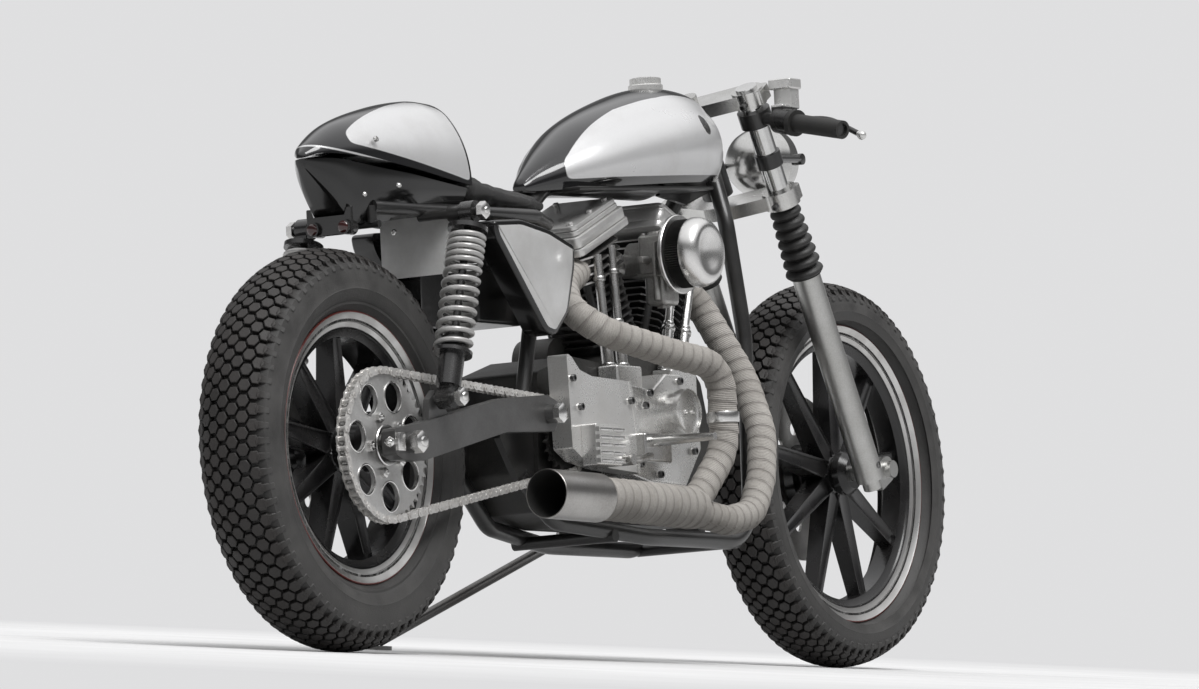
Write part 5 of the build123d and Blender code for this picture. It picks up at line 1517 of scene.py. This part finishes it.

# Muffler
# A short straight length of brushed steel tube, open at the back and coloured near black inside, for its soot
# and as painted shade within the tube.
brushed = finish("brushed_steel", (0.46, 0.45, 0.44), (0.26, 0.25, 0.235), 1, (0.26, 0.42), 0.0001, 7, 420)
soot_and_painted_shade = finish("soot_and_painted_shade", (0.006, 0.006, 0.006), (0.014, 0.013, 0.012), 0, (0.7, 0.9), 0.0003, 20, 500)
muffler_mesh = bmesh.new()
MUFFLER_END = Vector((0.360, -0.178, 0.254))
way = (MUFFLER_END - MUFFLER_START).normalized()
long = (MUFFLER_END - MUFFLER_START).length
turned(
    muffler_mesh,
    [
        (-0.004, 0.0365), (0.0, 0.0405), (0.004, 0.0410), (long - 0.0008, 0.0410), (long, 0.0403),
        (long, 0.0390), (long - 0.0008, 0.0382), (0.014, 0.0378), (0.012, 0.020), (0.012, 0.0),
    ],
    MUFFLER_START,
    72,
    way,
)
SOOT_AND_SHADE_R = 0.0386
# painted shade: the faces inside the tube take a near-black colour, darker than soot alone, to stand for the
# shade in the open tube as well as its soot
for face in muffler_mesh.faces:
    middle = face.calc_center_median() - MUFFLER_START
    if (middle - way * middle.dot(way)).length < SOOT_AND_SHADE_R:
        face.material_index = 1
muffler = piece("brushed_muffler", muffler_mesh, "frame", [brushed, soot_and_painted_shade], sharp=40)
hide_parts("muffler")


# Footrests and pedals
# Polished steel pegs and foot levers with their linkage, carried on lugs of the frame and the cases.
dress(
    finish("peg_metal", (0.62, 0.62, 0.61), (0.34, 0.33, 0.32), 1, (0.18, 0.34), 0.0001, 9, 500),
    "foot_controls",
)

# Side stand
# A long steel rod with a flat round foot, which folds up on a slanting pivot under the frame.
dress(
    finish("stand_steel", (0.22, 0.22, 0.22), (0.11, 0.105, 0.10), 1, (0.24, 0.42), 0.0002, 8, 420),
    "side_stand",
)

# Number plate
# A blank pressed plate in pale grey paint, held by two screws, with a steel bar behind it.
plate_paint, tree, shader, place, patch, grain_value = new_finish("plate_paint", 16, 700)
join(
    tree,
    (mixed(tree, patch, (0.88, 0.88, 0.87), (0.70, 0.695, 0.68)), shader.inputs["Base Color"]),
    (ranged(tree, patch, 0, 1, 0.35, 0.6), shader.inputs["Roughness"]),
)
relief(tree, shader, grain_value, 0.00008)
dress(plate_paint, "number_plate")
plate_mesh = bmesh.new()
for y in (-0.088, 0.034):
    add_screw(plate_mesh, (0.2702, y, 0.700), (-1, 0, 0), 0.0050, 0.0026, 16)
piece("plate_screws", plate_mesh, "frame", [bright_steel])

# Tail lamps
# Two small round lamps with dark lenses, on a black bracket.
dress(
    finish(
        "lamp_black", (0.010, 0.010, 0.010), (0.022, 0.021, 0.02), 0, (0.16, 0.34), 0.0001, 12, 500, 0.4
    ),
    "tail_lamp",
)
lens_red = finish(
    "lens_dark_red", (0.050, 0.006, 0.005), (0.030, 0.006, 0.005), 0, (0.06, 0.14), 0, 12, 500, 0.9
)
lens_mesh = bmesh.new()
for y in (-0.030, 0.030):
    turned(
        lens_mesh,
        [(0.0, 0.0), (0.0, 0.0100), (0.0016, 0.0098), (0.0029, 0.0080), (0.0037, 0.0050), (0.0040, 0.0)],
        (0.0150, y, 0.690),
        40,
        (-1, 0, 0),
    )
piece("lamp_lenses", lens_mesh, "frame", [lens_red], sharp=60)

# Fork
# Telescopic legs in cast aluminium sliders, with folded rubber boots over the tubes. A polished lower
# clamp and a flat top clamp hold them to the steering stem with socket screws.
RAKE = radians(28.15)
FORK_OFFSET = 0.030
LEG_Y = 0.102
STEM_Z = 0.959
TOP_CLAMP_Z, LOW_CLAMP_Z, SLIDER_TOP_Z = 0.956, 0.788, 0.662
STEM = Vector((1.220 - FORK_OFFSET / cos(RAKE), 0, STEM_Z))
DOWN_FORK = Vector((sin(RAKE), 0, -cos(RAKE)))
AHEAD_FORK = Vector((cos(RAKE), 0, sin(RAKE)))


def leg_point(side, z, ahead=FORK_OFFSET):
    """The point of a fork leg's axis at a height z of the stem's own line."""
    along_stem = DOWN_FORK * ((STEM_Z - z) / cos(RAKE))
    return STEM + along_stem + AHEAD_FORK * ahead + Vector((0, side * LEG_Y, 0))


fork_alloy = finish("slider_alloy", (0.52, 0.52, 0.51), (0.34, 0.335, 0.32), 1, (0.30, 0.46), 0.0001, 7, 420)
boot_rubber = finish(
    "boot_rubber", (0.014, 0.014, 0.014), (0.034, 0.033, 0.031), 0, (0.42, 0.62), 0.0002, 12, 360
)
clamp_polish = finish(
    "clamp_alloy", (0.66, 0.66, 0.65), (0.42, 0.415, 0.40), 1, (0.17, 0.32), 0.0001, 8, 420
)
dress(
    finish("fork_chrome", (0.70, 0.70, 0.70), (0.50, 0.50, 0.49), 1, (0.07, 0.16), 0, 8, 420), "fork_tubes"
)
dress(clamp_polish, "triple_clamps")
dress(fork_alloy, "fork_sliders")
FOLDS = 7
# one fold of a boot: how far along it, and how far out between its small and its big radius
FOLD = ((0.10, 0.45), (0.22, 0.85), (0.36, 1.0), (0.50, 0.96), (0.64, 0.80), (0.80, 0.42), (0.92, 0.08))
boots = bmesh.new()
start_z, end_z = SLIDER_TOP_Z - 0.006, LOW_CLAMP_Z - 0.016
for side in (-1, 1):
    low, high = leg_point(side, start_z), leg_point(side, end_z)
    way = (high - low).normalized()
    long = (high - low).length
    pitch = long / FOLDS
    outline = [(0.0, 0.0190), (0.0, 0.0285)]
    for i in range(FOLDS):
        big, small = 0.0338 - 0.001 * i, 0.0232 - 0.0004 * i
        for share, pull in FOLD:
            outline.append((pitch * (i + share), small + (big - small) * pull))
    outline += [(long, 0.0250), (long, 0.0190)]
    turned(boots, outline + [outline[0]], low, 48, tuple(way))
boot_piece = piece("folded_boots", boots, "steering", [boot_rubber], sharp=70)
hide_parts("fork_boots")
fork_trim = bmesh.new()
for side in (-1, 1):
    for z in (TOP_CLAMP_Z, LOW_CLAMP_Z):
        seat = leg_point(side, z - 0.004, 0.0) + Vector((0, side * 0.004, 0))
        add_screw(fork_trim, seat, -AHEAD_FORK, 0.0058, 0.008)
    add_screw(
        fork_trim, leg_point(side, 0.330) + Vector((0, side * 0.0235, 0)), (0, side, 0), 0.0065, 0.0022
    )
piece("fork_screws", fork_trim, "steering", [screw_dark])

# Handlebars and hand controls
# Clip-on bars in black steel with flanged rubber grips. The levers end in bright balls, and the brake
# fluid is held in a square silver reservoir.
bar_black = finish(
    "bar_black", (0.012, 0.012, 0.013), (0.030, 0.029, 0.028), 0, (0.24, 0.42), 0.0002, 12, 500, 0.3
)
grip_rubber = finish(
    "grip_rubber", (0.012, 0.012, 0.012), (0.03, 0.029, 0.027), 0, (0.5, 0.72), 0.0003, 14, 340
)
dress(bar_black, "handlebars")
dress(grip_rubber, "grips")
controls = bmesh.new()
controls.from_mesh(bpy.data.objects["hand_controls"].data)
controls.transform(parked.inverted())
reservoir_foot = max(v.co.z for v in controls.verts) - 0.050
controls.free()
control_metal, tree, shader, place, patch, grain_value = new_finish("control_metal", 14, 500)
forward, left, height = at_place(tree, place)
LEVER_BALL = (1.226, 0.314, 0.884)
BALL_REACH = 0.0105
from_ball = 0.0
for value, middle in zip((forward, sums(tree, "ABSOLUTE", left), height), LEVER_BALL):
    gap = sums(tree, "SUBTRACT", value, middle)
    from_ball = sums(tree, "ADD", from_ball, sums(tree, "MULTIPLY", gap, gap))
ball = edge_of(tree, sums(tree, "SUBTRACT", BALL_REACH**2, from_ball), 0.00001)
silvered = sums(tree, "MAXIMUM", edge_of(tree, sums(tree, "SUBTRACT", height, reservoir_foot)), ball)
black = mixed(tree, patch, (0.010, 0.010, 0.010), (0.040, 0.039, 0.038))
silver = mixed(tree, patch, (0.80, 0.80, 0.79), (0.60, 0.595, 0.58))
join(
    tree,
    (mixed(tree, silvered, black, silver), shader.inputs["Base Color"]),
    (ranged(tree, silvered, 0, 1, 0.1, 0.7), shader.inputs["Metallic"]),
    (ranged(tree, patch, 0, 1, 0.20, 0.36), shader.inputs["Roughness"]),
)
dress(control_metal, "hand_controls")

# Headlight
# A spun bowl with a bright trim ring and a domed grey glass, held by a stay from a ring on each fork leg.
bowl_silver = finish("bowl_silver", (0.62, 0.62, 0.61), (0.42, 0.415, 0.405), 1, (0.14, 0.26), 0, 8, 420)
glass = finish("lamp_glass", (0.30, 0.31, 0.32), (0.20, 0.20, 0.205), 0, (0.03, 0.10), 0, 6, 420, 1.0)
LAMP = Vector((1.424, 0, 0.878))
lamp_mesh = bmesh.new()
turned(
    lamp_mesh,
    [
        (0.0185, 0.0585), (0.0190, 0.0610), (0.0150, 0.0620), (-0.0060, 0.0622), (-0.0085, 0.0630),
        (-0.0105, 0.0618), (-0.0250, 0.0585), (-0.0400, 0.0530), (-0.0520, 0.0455), (-0.0620, 0.0350),
        (-0.0690, 0.0200), (-0.0720, 0.0),
    ],
    LAMP,
    96,
    (1, 0, 0),
)
front = bmesh.new()
turned(
    front,
    [(0.0300, 0.0), (0.0292, 0.0150), (0.0262, 0.0300), (0.0225, 0.0450), (0.0185, 0.0585)],
    LAMP,
    96,
    (1, 0, 0),
)
for face in front.faces:
    face.material_index = 1
join_part(lamp_mesh, front)
bmesh.ops.remove_doubles(lamp_mesh, verts=lamp_mesh.verts, dist=1e-6)
headlight = piece("spun_headlight", lamp_mesh, "steering", [bowl_silver, glass], sharp=50)
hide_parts("headlight")

stays = bmesh.new()
for side in (-1, 1):
    leg, boss = leg_point(side, 0.852), Vector((LAMP.x + 0.006, side * 0.070, LAMP.z))
    add_rod(stays, leg + (boss - leg).normalized() * 0.0205, boss, 0.006)
    add_rod(
        stays, boss - Vector((0, side * 0.010, 0)), boss + Vector((0, side * 0.007, 0)), 0.010, edge=0.001
    )
    turned(stays, [(-0.013, 0.0192), (-0.013, 0.0225), (-0.0125, 0.023), (0.0125, 0.023), (0.013, 0.0225),
                   (0.013, 0.0192), (-0.013, 0.0192)], leg, 48, tuple(DOWN_FORK))
piece("lamp_stays", stays, "steering", [bar_black])

# Front brake caliper
# A cast caliper painted black, fixed behind the left slider's foot.
dress(
    finish(
        "caliper_black", (0.020, 0.020, 0.020), (0.06, 0.058, 0.055), 0.3, (0.34, 0.55), 0.0003, 14, 420
    ),
    "front_caliper",
)
